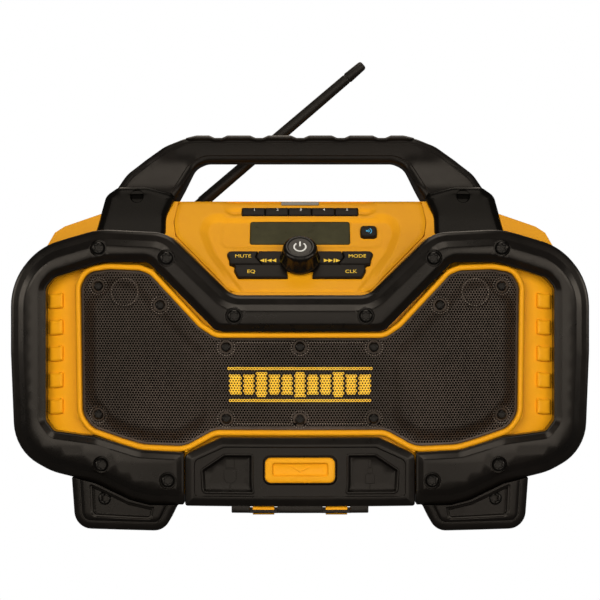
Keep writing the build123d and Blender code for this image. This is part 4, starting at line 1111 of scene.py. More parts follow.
@dataclass
class RearCage:
    """Rear bumper cage: a frame with rounded bevels, wrapped round the housing's back."""

    outline: Outline = Outline.mirrored(
        (
            (-150.0, 241.0, 40.0), (-190.0, 233.4, 24.0), (-220.0, 200.0, 24.0), (-220.0, 132.0, 80.0),
            (-216.8, 57.0, 26.0), (-187.0, 42.0, 40.0), (-152.5, 34.8, 30.0), (-126.0, 23.0, 24.0),
            (-112.0, 19.6, 20.0),
        ),
        5.0,
    )  # fmt: skip
    window: Outline = Outline.mirrored(
        (
            (-152.0, 214.0, 30.0), (-179.2, 209.7, 12.0), (-193.0, 194.5, 12.0), (-193.0, 131.5, 80.0),
            (-190.4, 74.7, 8.0), (-178.2, 68.7, 12.0), (-144.9, 61.2, 20.0), (-117.3, 48.7, 14.0),
            (-109.7, 46.6, 12.0),
        ),
        5.0,
    )  # fmt: skip
    recesses: tuple[Spot, ...] = ((150.0, 227.0), (60.0, 227.5), (150.0, 47.0), (60.0, 34.0))
    reach: float = 40.0
    thick: float = BACK - REAR

    def build(self) -> None:
        """Makes the frame: skirt and outer wall, back face with recesses, window wall."""
        top = self.thick
        bevel = ((0, top - 4.8), (0.3, top - 3.2), (1.3, top - 1.5), (2.7, top - 0.4), (4.0, top))
        skirt = ((8.2, 1 - self.reach), (7.6, -self.reach), (1.0, -self.reach), (0.3, 0.3 - self.reach))
        skin = Skin()
        outer = rows(*skirt, (0, 1 - self.reach), *bevel)
        skin.grid(np.stack([row.place(self.outline, back_seat) for row in outer]))
        inner = rows(*((-inset, depth) for inset, depth in reversed(bevel)), (0, 0.0))
        skin.grid(np.stack([row.place(self.window, back_seat) for row in inner]))
        place = laid(back_seat, top)
        holes = [Disc(x, z, FrontCage.recess_r) for x, z in both_sides(self.recesses)]
        rings = [hole.ring() for hole in holes]
        skin.face(self.outline.ring(4.0), place, 9.0, (), [self.window.ring(-4.0), *rings])
        for hole in holes:
            skin.sink(Pocket(hole, ((0.3, top - 1.0), (0.45, top - FrontCage.recess_deep))), place, back_seat)
        settle(skin.build("rear_cage_skin"), Paint.black_bumper, "root", "rear_cage")


@dataclass
class BackPanel:
    """Raised field on the housing's back, open round the battery door and the mains inlet."""

    outline: Outline = Outline.mirrored(
        (
            (-150.0, 206.0, 26.0), (-175.0, 202.0, 12.0), (-186.0, 190.0, 12.0), (-186.0, 131.5, 80.0),
            (-183.6, 80.0, 10.0), (-175.0, 75.8, 12.0), (-142.0, 68.6, 20.0), (-114.6, 56.0, 14.0),
            (-108.0, 54.6, 10.0),
        ),
        6.0,
    )  # fmt: skip
    openings: tuple[Outline, ...] = (
        Outline.box((-67.0, 57.0), (67.0, 155.0), 4.0),
        Outline.box((93.0, 68.0), (131.0, 96.0), 4.0),
    )
    grooves: tuple[float, ...] = (166.0, 174.0, 182.0, 190.0)
    groove: Spot = (60.0, 1.6)  # half length and half width
    rise: float = 1.2

    def build(self) -> None:
        """Makes the field with rounded edges, its openings and four grooves over the door."""
        skin = Skin()
        edge = ((0, -0.2), (0, self.rise - 0.7), (0.3, self.rise - 0.2), (1.0, self.rise))
        skin.carry(self.outline, rows(*edge[:-1]), back_seat, ends=(False, False))
        place = laid(back_seat, self.rise)
        skin.grid(np.stack([row.place(self.outline, back_seat) for row in rows(*edge[-2:])]))
        half, wide = self.groove
        slots = [Outline.box((-half, z - wide), (half, z + wide), wide - 0.1) for z in self.grooves]
        shapes = [*self.openings, *slots]
        skin.face(self.outline.ring(1.0), place, 9.0, (), [shape.ring() for shape in shapes])
        for shape in self.openings:
            skin.sink(Pocket(shape, ((-0.3, self.rise - 0.3), (-0.4, -0.2)), False), place, back_seat)
        for shape in slots:
            skin.sink(Pocket(shape, ((0.3, self.rise - 0.3), (0.5, 0.3))), place, back_seat)
        settle(skin.build("back_field", 40.0), Paint.yellow_shell, "root")


@dataclass
class DoorRibs:
    """Raised ribs on the battery door's outer face."""

    half: float = 52.0
    low: float = 80.0
    high: float = 122.0
    count: int = 6
    half_high: float = 1.8

    def build(self) -> None:
        """Lays the ribs on the door's face."""
        face = node_points("battery_door")[:, 1].max() - REAR
        skin = Skin()
        for step in range(self.count):
            z = self.low + step * (self.high - self.low) / (self.count - 1)
            rib = Outline.box((-self.half, z - self.half_high), (self.half, z + self.half_high), 1.7)
            profile = rows((0, face - 0.2), (0, face + 0.5), (0.3, face + 0.9), (0.9, face + 1.1))
            skin.carry(rib, profile, back_seat)
        settle(skin.build("battery_door_ribs", 50.0), Paint.yellow_shell, "battery_door")


@dataclass
class Screws:
    """Round screw heads with six-lobed sockets, one mesh for each CAD group.

    Attributes:
        node: CAD node of the group.
        spots: x and z of its heads in the right half.
        radius: of a head.
        high: height of a head.
        back: True if the heads look backwards.
        room: how far past a head's radius its CAD points may lie.
    """

    node: str
    spots: tuple[Spot, ...]
    radius: float = 5.0
    high: float = 3.0
    back: bool = False
    room: float = 0.6

    @staticmethod
    def lobes(angle: Array, ring: Array) -> Array:
        """Factor on the radius: six waves round the socket's rings and none round the others."""
        return 1 + 0.2 * np.cos(6 * angle) * ((ring > 6) & (ring < 10))

    def build(self) -> None:
        """Turns each head in its CAD place, socket included."""
        points = node_points(self.node)
        skin = Skin()
        r, h = self.radius, self.high
        profile = (
            (0, 0), (r - 0.3, 0), (r, 0.4), (r, h * 0.45), (r * 0.97, h * 0.62), (r * 0.86, h * 0.86),
            (r * 0.7, h), (r * 0.58, h * 0.98), (r * 0.52, h * 0.8), (r * 0.5, h * 0.12), (0, h * 0.08),
        )  # fmt: skip
        way = 1.0 if self.back else -1.0
        for x, z in both_sides(self.spots):
            near = points[np.hypot(points[:, 0] - x, points[:, 2] - z) < self.radius + self.room]
            top = near[:, 1].max() if self.back else near[:, 1].min()
            skin.lathe(profile, (x, top - way * self.high, z), (0, way, 0), 36, self.lobes)
        settle(skin.build(f"{self.node}_heads"), Paint.screw_steel, "root", self.node)


@dataclass
class Grille:
    """Perforated sheet bent into two raised lobes, with dimpled screws and a cloth behind.

    Attributes:
        outline: edge of the sheet.
        lobe: foot of the left lobe.
        screws: x and z of the screws in the right half.
        tweeter: how far a tweeter's middle lies from the sheet's middle, and its height.
        set_back: depth of the flat sheet.
        rise: height of a lobe over the flat sheet.
        shoulder: width of a lobe's soft shoulder.
        dimple: radius, width and depth of the groove round a screw.
        ring: radius, width and height of the bead round a tweeter.
        middle_half: half width of the field between the lobes.
        lines: heights of the two pressed lines.
        line: width and depth of a pressed line.
        pitch: distance between neighbouring holes.
        screw_clear: radius round a screw that has no holes.
        bars: number of the emblem's bars at each side of the middle one.
        bar_pitch: distance between two bars.
        bar_width: width of a bar.
        bar_row: row of holes at the bars' mid height.
        bar_high: least height of a bar and how much it can grow.
        bar_turn: turn of the wave of heights from one bar to the next, in radians.
        line_rows: rows of holes from the bars' mid height to the lines over and under them.
        bead_pitch: distance between the painted glints on the pressed lines.
        bead_r: radius of a painted glint.
    """

    outline: Outline = Outline.mirrored(
        (
            (-62.8, 143.6, 14.0), (-74.7, 151.4, 14.0), (-111.5, 190.7, 12.0), (-119.5, 193.7, 12.0),
            (-143.8, 194.8, 40.0), (-159.6, 192.4, 12.0), (-165.3, 182.0, 12.0), (-163.8, 85.4, 16.0),
            (-156.0, 75.2, 14.0), (-132.6, 67.6, 60.0), (-117.5, 63.4, 40.0), (-85.6, 62.4, 22.0),
            (-63.4, 74.8, 18.0),
        ),
        4.0,
    )  # fmt: skip
    lobe: Outline = Outline(
        (
            (-72.0, 131.0, 12.0), (-80.0, 137.0, 8.0), (-123.0, 180.0, 14.0), (-141.0, 185.0, 14.0),
            (-156.0, 170.0, 14.0), (-156.0, 98.0, 16.0), (-140.0, 81.0, 16.0), (-118.0, 73.0, 20.0),
            (-90.0, 72.0, 14.0), (-72.0, 84.0, 14.0),
        ),
        4.0,
    )  # fmt: skip
    screws: tuple[Spot, ...] = (
        (151.6, 181.9), (104.3, 167.7), (151.6, 85.4), (54.9, 136.5), (54.7, 83.3), (0.0, 136.6), (0.0, 82.8),
    )  # fmt: skip
    tweeter: Spot = (131.0, 177.4)
    set_back: float = 15.0
    rise: float = 4.0
    shoulder: float = 10.0
    dimple: tuple[float, float, float] = (5.4, 1.5, 0.9)
    ring: tuple[float, float, float] = (10.0, 1.1, 0.7)
    middle_half: float = 61.0
    lines: tuple[float, float] = (139.8, 79.6)
    line: Spot = (0.9, 0.7)
    pitch: float = 2.11
    screw_clear: float = 4.3
    bars: int = 5
    bar_pitch: float = 9.6
    bar_width: float = 7.4
    bar_row: float = 59.5
    bar_high: Spot = (9.0, 10.5)
    bar_turn: float = 1.05
    line_rows: float = 6.5
    bead_pitch: float = 1.85
    bead_r: float = 0.42

    @property
    def row(self) -> float:
        """Distance between two rows of holes."""
        return self.pitch * math.sqrt(3) / 2

    def depth(self, spots: Array) -> Array:
        """Depth of the sheet: raised lobes, grooves and beads round the screws and tweeters, lines.

        Args:
            spots: x and z of each spot.

        Returns:
            The flat sheet's depth, less the lobes' soft steps and the beads, plus bell-shaped
            grooves. The lines fade out at the middle field's edges.
        """
        flat = np.stack([-np.abs(spots[:, 0]), spots[:, 1]], 1)
        depth = self.set_back - self.rise * soften((within(flat, self.lobe.ring()) + 6.0) / self.shoulder)
        radius, width, deep = self.dimple
        for x, z in self.screws:
            gap = np.hypot(flat[:, 0] + x, flat[:, 1] - z)
            depth = depth + deep * bell(gap - radius, width)
        radius, width, high = self.ring
        gap = np.hypot(flat[:, 0] + self.tweeter[0], flat[:, 1] - self.tweeter[1])
        depth = depth - high * bell(gap - radius, width)
        middle = 1 / (1 + np.exp((np.abs(spots[:, 0]) - self.middle_half) / 1.5))
        width, deep = self.line
        for level in self.lines:
            depth = depth + deep * middle * bell(spots[:, 1] - level, width)
        return depth

    def lay(self, flat: Array, back: float) -> Array:
        """Points on the sheet, at a distance behind it."""
        return bow_seat(flat[:, 0], flat[:, 1], self.depth(flat) + back)

    def in_bars(self, spots: Array) -> Array:
        """Whether spots lie in the emblem: level bars whose heights swell and fall, and two lines.

        Args:
            spots: x and z of each spot.

        Returns:
            True for each spot that does.
        """
        step = np.round(spots[:, 0] / self.bar_pitch)
        least, growth = self.bar_high
        height = least + growth * np.abs(np.cos(self.bar_turn * step))
        side = np.abs(spots[:, 0] - step * self.bar_pitch) < self.bar_width / 2
        high = np.abs(spots[:, 1] - self.bar_row * self.row)
        reach = (self.bars + 0.5) * self.bar_pitch
        line = (np.abs(high - self.line_rows * self.row) < self.row / 2) & (np.abs(spots[:, 0]) < reach)
        return side & (np.abs(step) <= self.bars) & (high < height / 2) | line

    def beads(self) -> Array:
        """Middles of the painted glints: rings round the screws and the tweeters, and the pressed lines.

        Returns:
            x and z of each, on the sheet.
        """
        spots = [Disc(*self.tweeter, 10.2, 34).ring()]
        spots += [Disc(x, z, 6.4, 22).ring() for x, z in self.screws]
        run = np.arange(7.6, 47.5, self.bead_pitch)
        spots += [np.stack([run, run * 0 + level], 1) for level in self.lines]
        half = np.concatenate(spots)
        both = np.concatenate([half, half * (-1, 1)])
        return both[within(both, self.outline.ring()) > 1.0]

    def hexagons(self, middles: Array, turn: float, levels: Sequence[Spot]) -> Array:
        """Points of nested hexagons about each middle, on the sheet.

        Args:
            middles: x and z of each middle.
            turn: angle of the first corner, in degrees.
            levels: radius of each hexagon and its distance behind the sheet.

        Returns:
            Points as (middle, hexagon, corner, 3).
        """
        angle = np.radians(np.arange(6) * 60 + turn)
        ring = np.stack([np.cos(angle), np.sin(angle)], 1)
        rings = []
        for radius, back in levels:
            flat = (middles[:, None] + ring * radius).reshape(-1, 2)
            rings.append(self.lay(flat, back).reshape(len(middles), 6, 3))
        return np.stack(rings, 1)

    def perforate(self, name: str, cells: Array, hole: float = 0.78) -> bpy.types.Object:
        """Sheet with one hexagonal hole for each cell.

        Each cell is a hexagon. Its rim lies on the sheet; a smaller hexagon is the hole's edge,
        joined to the rim by six faces, and six more run back from it as the hole's wall.

        Args:
            name: of the piece.
            cells: x and z of the cells' middles.
            hole: width of the hole as a share of its cell.

        Returns:
            The sheet.
        """
        size = self.pitch / math.sqrt(3)
        levels = ((size, 0.0), (size * hole, 0.03), (size * (hole - 0.04), 0.6))
        points = self.hexagons(cells, 30.0, levels)
        index = np.arange(len(cells) * 18).reshape(len(cells), 3, 6)
        after = np.roll(index, -1, 2)
        quads = np.stack([index[:, :-1], after[:, :-1], after[:, 1:], index[:, 1:]], -1)
        skin = Skin()
        skin.add(points, quads.reshape(-1, 4))
        return skin.build(name, 60.0)

    def cells(self) -> Array:
        """Middles of the holes: staggered rows inside the edge and clear of the screws.

        Returns:
            x and z of each.
        """
        columns = np.arange(-90, 91) * self.pitch
        levels = np.arange(36, 120) * self.row
        grid = np.stack(np.meshgrid(columns, levels), -1)
        grid[1::2, :, 0] += self.pitch / 2
        cells = grid.reshape(-1, 2)
        cells = cells[within(cells, self.outline.ring()) > 1.2]
        for x, z in self.screws:
            cells = cells[np.hypot(np.abs(cells[:, 0]) - x, cells[:, 1] - z) > self.screw_clear]
        return cells

    def rims(self) -> Skin:
        """Edge of the sheet and the dimples' collars.

        Returns:
            Their skin.
        """
        edge = ((2.2, 0.9), (0.0, 1.4), (0.0, 0.9), (0.3, 0.3), (0.8, -0.05), (1.4, -0.1), (2.2, 0.12))
        collar = ((5.0, 0.5), (4.9, -0.05), (4.5, -0.1), (3.9, 0.4), (3.7, 0.9))
        skin = Skin()
        skin.grid(np.stack([self.lay(self.outline.ring(inset), back) for inset, back in edge]), looped=True)
        for x, z in both_sides(self.screws):
            skin.grid(np.stack([self.lay(Disc(x, z, radius, 28).ring(), back) for radius, back in collar]))
        return skin

    def build(self) -> None:
        """Makes the sheet in three pieces, its painted glints, the emblem, the rims and the cloth."""
        cells = self.cells()
        bars = self.in_bars(cells)
        left, right = cells[:, 0] < -62, cells[:, 0] > 62
        parts = {"grille_left": left, "grille_middle": ~left & ~right & ~bars, "grille_right": right}
        for name, chosen in parts.items():
            nodes = ("speaker_grille",) if name == "grille_middle" else ()
            settle(self.perforate(name, cells[chosen]), Paint.grille_metal, "root", *nodes)
        # Painted glints: small domes on the rings and pressed lines, coloured lighter than the sheet.
        dots = Skin()
        dome = ((1.0, 0.02), (0.95, -0.1), (0.6, -0.18), (0.0, -0.2))
        for bead in self.hexagons(self.beads(), 0.0, [(share * self.bead_r, back) for share, back in dome]):
            dots.grid(bead)
        settle(dots.build("grille_beads", 60.0), Paint.bright_metal, "root", slot="grille_metal")
        settle(self.perforate("level_bars", cells[bars], 0.54), Paint.emblem_yellow, "root", "grille_emblem")
        settle(self.rims().build("grille_rim"), Paint.grille_metal, "root")
        cloth = Skin()
        cloth.face(self.outline.ring(1.0), laid(bow_seat, lambda flat: self.depth(flat) + 0.75), 4.0)
        settle(cloth.build("grille_cloth"), Paint.cloth, "root", slot="grille_metal")


@dataclass
class Lip:
    """Rounded yellow lip of the housing round the grille.

    Attributes:
        path: edge that the lip runs along.
        bead_r: radius of the lip's round.
        out: how far the round's middle lies outside the path.
        depth: depth of the round's middle.
        root: depth of the lip's foot.
    """

    path: Outline = Grille.outline
    bead_r: float = 2.1
    out: float = 1.75
    depth: float = 10.6
    root: float = 16.5

    def build(self) -> None:
        """Makes the lip as a half-round bead along the grille's edge."""
        r = self.bead_r
        arc = np.radians(np.linspace(0, 180, 9))
        bead = [(-self.out - r * math.cos(turn), self.depth - r * math.sin(turn)) for turn in arc]
        profile = rows((r - self.out, self.root), *reversed(bead), (-r - self.out, self.root))
        skin = Skin().carry(self.path, profile, bow_seat, looped=True)
        settle(skin.build("housing_lip", 50.0), Paint.yellow_shell, "root")


@dataclass
class Pads:
    """Five soft-edged pads on the housing's side, seen through the cage's windows."""

    pitch: float = 20.0
    middle: float = 131.5
    count: int = 5
    round: float = 1.4

    def build(self) -> None:
        """Makes the left side's pads on the housing's face, then their mirror images."""
        skin = Skin()
        profile = rows((0, 18.4), (0, 16.9), (0.5, 15.8), (1.3, 15.2), (2.0, 15.0))
        corners = (
            (-179.2, -6.0), (-179.2, 6.0), (-184.0, 4.6), (-190.4, 4.6), (-190.4, -6.8), (-184.0, -6.8),
        )  # fmt: skip
        for step in range(self.count):
            z = self.middle + (step - (self.count - 1) / 2) * self.pitch
            pad = Outline(tuple((x, z + rise, self.round) for x, rise in corners), 3.0)
            skin.carry(pad, profile, bow_seat, pitch=3.0)
        left = list(zip(skin.points, skin.faces))
        for points, faces in left:
            skin.add(points * (-1, 1, 1), faces - faces.min())
        settle(skin.build("housing_pads", 50.0), Paint.yellow_shell, "root")


@dataclass
class Foot:
    """Foot: a block with a rim band, a groove and a pocket round its screw.

    Attributes:
        side: left or right half.
        end: front or rear end.
        outline: of the left foot, its free sides first.
        pocket: rim of the pocket.
        free: number of sides that don't lie against the cage.
        held: most that the other sides are drawn in.
    """

    side: Side
    end: End
    outline: Outline = Outline(
        (
            (-171.5, 38.7, 1.0), (-168.6, 0.05, 13.0), (-100.5, 0.05, 13.0), (-91.0, 19.6, 0.6),
            (-112.0, 19.6, 8.0), (-126.0, 23.0, 12.0), (-152.5, 34.8, 20.0),
        ),
        4.0,
    )  # fmt: skip
    pocket: Outline = Outline(
        (
            (-157.2, 34.6, 1.5), (-156.2, 9.6, 5.0), (-109.6, 8.4, 4.0), (-107.6, 18.4, 1.0),
            (-112.0, 18.4, 4.0), (-127.0, 21.6, 8.0), (-151.0, 32.2, 8.0),
        ),
        4.0,
    )  # fmt: skip
    free: int = 3
    held: float = 0.2

    def build(self) -> None:
        """Makes the block: rim band and groove on its free sides, then the pocket."""
        steps = (
            (0.3, 50.0), (0.0, 49.0), (0.0, 9.5), (0.6, 7.6), (1.8, 6.4), (3.6, 5.6), (5.6, 5.4), (6.0, 5.9),
            (6.8, 5.9), (7.4, 4.2), (8.2, 3.4), (9.4, 3.0),
        )  # fmt: skip
        covered = len(self.outline.corners) - self.free
        band = [Row([inset] * self.free + [min(inset, self.held)] * covered, depth) for inset, depth in steps]
        pocket = Pocket(self.pocket, ((0.3, 3.3), (0.9, 3.9), (1.8, 4.1), (2.2, 6.6), (2.6, 7.0)))
        skin = Skin().carry(self.outline, band, bow_seat, pockets=(pocket,))
        if self.side is Side.right:
            skin.mirror()
        if self.end is End.rear:
            skin.mirror((1, -1, 1))
        node = f"foot_{self.end.name}_{self.side.name}"
        settle(skin.build(f"{node}_block"), Paint.black_bumper, "root", node)


@dataclass
class Door:
    """Storage door: plate with a raised band, a lower field, pockets, latch seat and hinge tabs.

    Attributes:
        outline: of the plate.
        field: rim of the lower field.
        finger: rim of the left pocket.
        seat: rim of the latch's seat.
        field_deep: depth of the field under the band.
        finger_deep: depth of a pocket under the field.
        sign: x and z of the middle of the right pocket's sign.
    """

    outline: Outline = Outline.mirrored(((-58.1, 70.3, 8.0), (-84.8, 57.7, 6.0), (-84.8, 19.5, 2.0)), 5.0)
    field: Outline = Outline.mirrored(((-55.8, 63.6, 5.0), (-78.0, 53.4, 5.0), (-78.0, 26.6, 3.0)), 5.0)
    finger: Outline = Outline(
        (
            (-73.4, 46.8, 3.0), (-72.4, 28.6, 4.0), (-33.2, 28.6, 2.0),
            (-34.2, 37.0, 6.0), (-34.2, 58.6, 2.0), (-56.0, 58.6, 4.0),
        ),
        4.0,
    )  # fmt: skip
    seat: Outline = Outline.box((-27.4, 35.4), (27.4, 57.2), 5.5, 4.0)
    field_deep: float = 1.1
    finger_deep: float = 3.5
    sign: Spot = (51.5, 42.5)

    def build(self) -> None:
        """Makes the plate with its field, pockets, latch seat, tabs, knuckles and signs."""
        depth = shell_depth("front_door", 80.0, 30.0)
        profile = rows(
            (0.4, depth + 7.4), (0, depth + 7), (0, depth + 3.4), (0.5, depth + 2.2), (1.6, depth + 1.6),
            (4.6, depth + 0.3), (5.4, depth),
        )  # fmt: skip
        skin = Skin().carry(self.outline, profile, bow_seat, ends=(True, False))
        level = depth + self.field_deep
        skin.face(
            self.outline.ring(5.4),
            laid(bow_seat, lambda flat: np.where(within(flat, self.field.ring()) > 0.4, level, depth)),
            8.0,
            (self.field.ring(), self.field.ring(0.7)),
            [self.finger.ring(), self.finger.flipped().ring(), self.seat.ring()],
        )
        under = laid(bow_seat, level)
        steps = (
            (0.3, level - 0.6), (0.7, level - 0.9), (1.2, level - 0.9), (1.6, level - 0.6),
            (2.0, level + 0.4), (3.0, level + 3.2), (3.6, level + self.finger_deep),
        )  # fmt: skip
        for shape in (self.finger, self.finger.flipped()):
            skin.sink(Pocket(shape, steps), under, bow_seat)
        skin.sink(Pocket(self.seat, ((0.3, level + 0.4), (0.6, level + 5.0))), under, bow_seat)
        profile = rows((0, depth + 11), (0, depth + 2.8), (0.3, depth + 2.3), (0.8, depth + 2.1))
        for low, high in ((-50.4, -37.0), (-16.6, 16.6), (37.0, 50.4)):
            skin.carry(Outline.box((low, 14.8), (high, 20.5), 0.8, 4.0), profile, bow_seat)
        knuckle = shell_depth("front_housing", 37.0, 14.0, 19.0)
        for low in (-37.6, 16.0):
            strip = Outline.box((low, 14.6), (low + 21.6, 17.0), 0.4, 4.0)
            skin.carry(strip, rows((0, knuckle - 0.2), (0, knuckle - 0.8), (0.3, knuckle - 1.0)), bow_seat)
        settle(skin.build("front_door_plate"), Paint.black_bumper, "front_door", "front_door")
        self.icons(level + self.finger_deep)

    @staticmethod
    def icons(floor: float) -> None:
        """Raised signs on the pockets' floors: a plug at the left and a jack at the right.

        Args:
            floor: depth of the pockets' floors.
        """
        plug = [
            np.array([(-3.2, 5.0), (3.2, 5.0), (3.2, 11.5), (-3.2, 11.5)]),
            np.array([(-4.6, -3.0), (-2.6, -6.0), (2.6, -6.0), (4.6, -3.0), (4.6, 4.4), (-4.6, 4.4)]),
            np.array([(-0.7, -12.0), (0.7, -12.0), (0.7, -6.0), (-0.7, -6.0)]),
        ]
        jack = [
            np.array([(-1.0, 5.6), (1.0, 5.6), (1.0, 9.8), (0.0, 11.5), (-1.0, 9.8)]),
            np.array([(-1.9, 1.2), (1.9, 1.2), (1.9, 5.0), (-1.9, 5.0)]),
            np.array([(-3.4, -6.5), (3.4, -6.5), (3.4, 0.6), (-3.4, 0.6)]),
            np.array([(-0.7, -12.0), (0.7, -12.0), (0.7, -6.5), (-0.7, -6.5)]),
        ]
        across, middle = Door.sign
        profile = rows((0, floor + 0.2), (0, floor - 0.35), (0.2, floor - 0.5))
        for name, shapes, x in (("plug_sign", plug, -across), ("jack_sign", jack, across)):
            skin = Skin()
            for shape in shapes:
                skin.carry(Loop.of(shape + (x, middle)), profile, bow_seat, pitch=UNFILLED)
            settle(skin.build(name), Paint.black_bumper, "front_door")


@dataclass
class Latch:
    """Door latch: a rounded yellow pull with a hollow and an arrow head in it."""

    outline: Outline = Outline.box((-25.8, 37.0), (25.8, 55.6), 4.5, 3.0)
    hollow: Outline = Outline.box((-20.8, 41.6), (21.2, 52.2), 2.6, 3.0)

    def build(self) -> None:
        """Makes the pull and its arrow."""
        depth = float(node_points("front_latch")[:, 1].min()) - FRONT
        profile = rows(
            (0.3, depth + 4.2), (0, depth + 4), (0, depth + 1.6), (0.4, depth + 0.7), (1.1, depth + 0.2),
            (2.2, depth),
        )  # fmt: skip
        steps = ((0.4, depth + 0.3), (1.3, depth + 2.2), (2.0, depth + 2.6))
        skin = Skin().carry(self.outline, profile, bow_seat, pitch=4.0, pockets=(Pocket(self.hollow, steps),))
        arrow = ((-6.5, 48.8), (-5.7, 48.8), (0.2, 45.7), (6.1, 48.8), (6.9, 48.8), (0.2, 44.8))
        raised = rows((0, depth + 2.7), (0, depth + 2.0))
        skin.carry(Loop(tuple(reversed(arrow))), raised, bow_seat, pitch=UNFILLED)
        settle(skin.build("front_latch_pull_skin"), Paint.yellow_shell, "front_latch", "front_latch")


@dataclass
class Handle:
    """Carry handle: a bar on two legs that lean forwards to their mounts."""

    outline: Outline = Outline.mirrored(
        (
            (-89.5, 299.7, 26.0), (-107.0, 292.7, 30.0), (-121.5, 282.2, 40.0), (-136.0, 270.0, 24.0),
            (-143.6, 257.0, 3.0), (-145.0, 247.0, 2.0), (-103.5, 244.0, 2.0), (-98.8, 247.5, 3.0),
            (-83.0, 276.0, 14.0), (-74.0, 280.0, 14.0),
        ),
        5.0,
    )  # fmt: skip

    def build(self) -> None:
        """Makes the bar and legs as one skin between its side profiles."""
        front, back = profile_seat(
            ((-26, 243), (-22, 259), (-13.5, 270), (-8, 277), (-5, 283), (-4, 290), (-4, 300.4)),
            ((44, 243), (42, 259), (33.5, 270), (29.5, 278), (28, 284), (28, 300.4)),
        )
        behind = ((5.2, 0.0), (3.0, 0.6), (1.2, 2.0), (0.0, 5.0))
        before = rows(
            (0.0, 6.0), (0.3, 4.6), (1.0, 3.2), (2.1, 2.0), (3.4, 1.2), (4.9, 0.9), (5.3, 0.2), (6.0, 0.0),
        )  # fmt: skip
        profile = [*(Row(inset, depth, seat=back) for inset, depth in behind), *before]
        skin = Skin().carry(self.outline, profile, front, pitch=5.0)
        settle(skin.build("handle_bar"), Paint.handle_plastic, "root", "handle")


@dataclass
class Mount:
    """Handle mount: a saddle on the shoulder with a screw recess.

    Attributes:
        side: left or right half.
        outline: of the left mount.
        under: number of the outline's side that is the underside.
        screw: x and z of the right mount's screw.
    """

    side: Side
    outline: Outline = Outline(
        (
            (-141.3, 259.4, 10.0), (-150.8, 252.4, 9.0), (-153.4, 240.0, 20.0), (-157.0, 222.0, 1.0),
            (-102.6, 222.0, 1.0), (-103.0, 236.0, 16.0), (-97.2, 250.6, 2.0), (-99.8, 254.6, 3.0),
            (-119.0, 259.8, 20.0),
        ),
        4.0,
    )  # fmt: skip
    under: int = 3
    screw: Spot = (126.5, 252.0)

    def build(self) -> None:
        """Makes the saddle between its side profiles; its underside isn't drawn in."""
        front, back = profile_seat(
            ((-54, 221), (-50, 225.5), (-45.5, 230), (-40.5, 236), (-30.5, 252), (-27.2, 260)),
            ((54, 222), (46, 260)),
        )

        def row(inset: float, depth: float, seat: Seat | None = None) -> Row:
            """Row with every side drawn in but the underside."""
            insets = [0.0 if side == self.under else inset for side in range(len(self.outline.corners))]
            return Row(insets, depth, seat=seat)

        steps = ((0.0, 6.0), (0.3, 4.4), (1.0, 2.9), (2.1, 1.7), (3.4, 0.8), (4.6, 0.25), (6.0, 0.0))
        profile = [row(2.0, 0.0, back), row(0.0, 2.0, back), *(row(inset, depth) for inset, depth in steps)]
        x, z = self.screw
        hole = Pocket(Disc(-x, z, 5.4), ((0.3, 0.4), (0.5, 4.0)))
        skin = Skin().carry(self.outline, profile, front, pitch=5.0, pockets=(hole,))
        if self.side is Side.right:
            skin.mirror()
        node = f"handle_mount_{self.side.name}"
        # The mounts take a darker copy of the handle plastic as painted shade.
        settle(skin.build(f"{node}_saddle"), Paint.mount_plastic, "root", node, slot="handle_plastic")


@dataclass
class Grip:
    """Soft grip along the handle's top, with five shallow notches.

    Attributes:
        half: half length of the grip.
        top: height of its top.
        notch: depth of a notch.
        pitch: distance between the notches.
        mouth: width of a notch at the top.
        floor: width of a notch's floor.
        shoulder: length of the round at each end of the top.
    """

    half: float = 91.0
    top: float = 301.6
    notch: float = 2.1
    pitch: float = 32.3
    mouth: float = 14.5
    floor: float = 5.0
    shoulder: float = 9.0

    def outline(self) -> Outline:
        """Outline of the grip: along the top with its notches, then down and back.

        Returns:
            The outline, from the top's right end.
        """
        top = [(self.half - self.shoulder, self.top, 12.0)]
        low = self.top - self.notch
        for step in range(2, -3, -1):
            middle = step * self.pitch
            edges = ((self.mouth, self.top), (self.floor, low), (-self.floor, low), (-self.mouth, self.top))
            top += [(middle + width / 2, z, 3.0) for width, z in edges]
        top += [(self.shoulder - self.half, self.top, 12.0), (-self.half, 299.4, 1.0)]
        under = ((2 - self.half, 296.5, 1.0), (self.half - 2, 296.5, 1.0), (self.half, 299.4, 1.0))
        return Outline((*top, *under), 5.0, 5)

    def build(self) -> None:
        """Makes the grip across the bar."""

        def seat(x: Array, z: Array, depth: Array) -> Array:
            """Place at a depth that is the Y of the place."""
            return np.stack([x, depth + 0 * x, z], -1)

        profile = rows(
            (2.4, 26.8), (1.3, 26.2), (0.5, 24.6), (0, 22.5), (0, 1.5), (0.5, -0.9), (1.3, -2.7), (2.4, -3.5),
        )  # fmt: skip
        skin = Skin().carry(self.outline(), profile, seat, pitch=6.0)
        settle(skin.build("grip_pad"), Paint.grip_rubber, "root", "handle_grip")


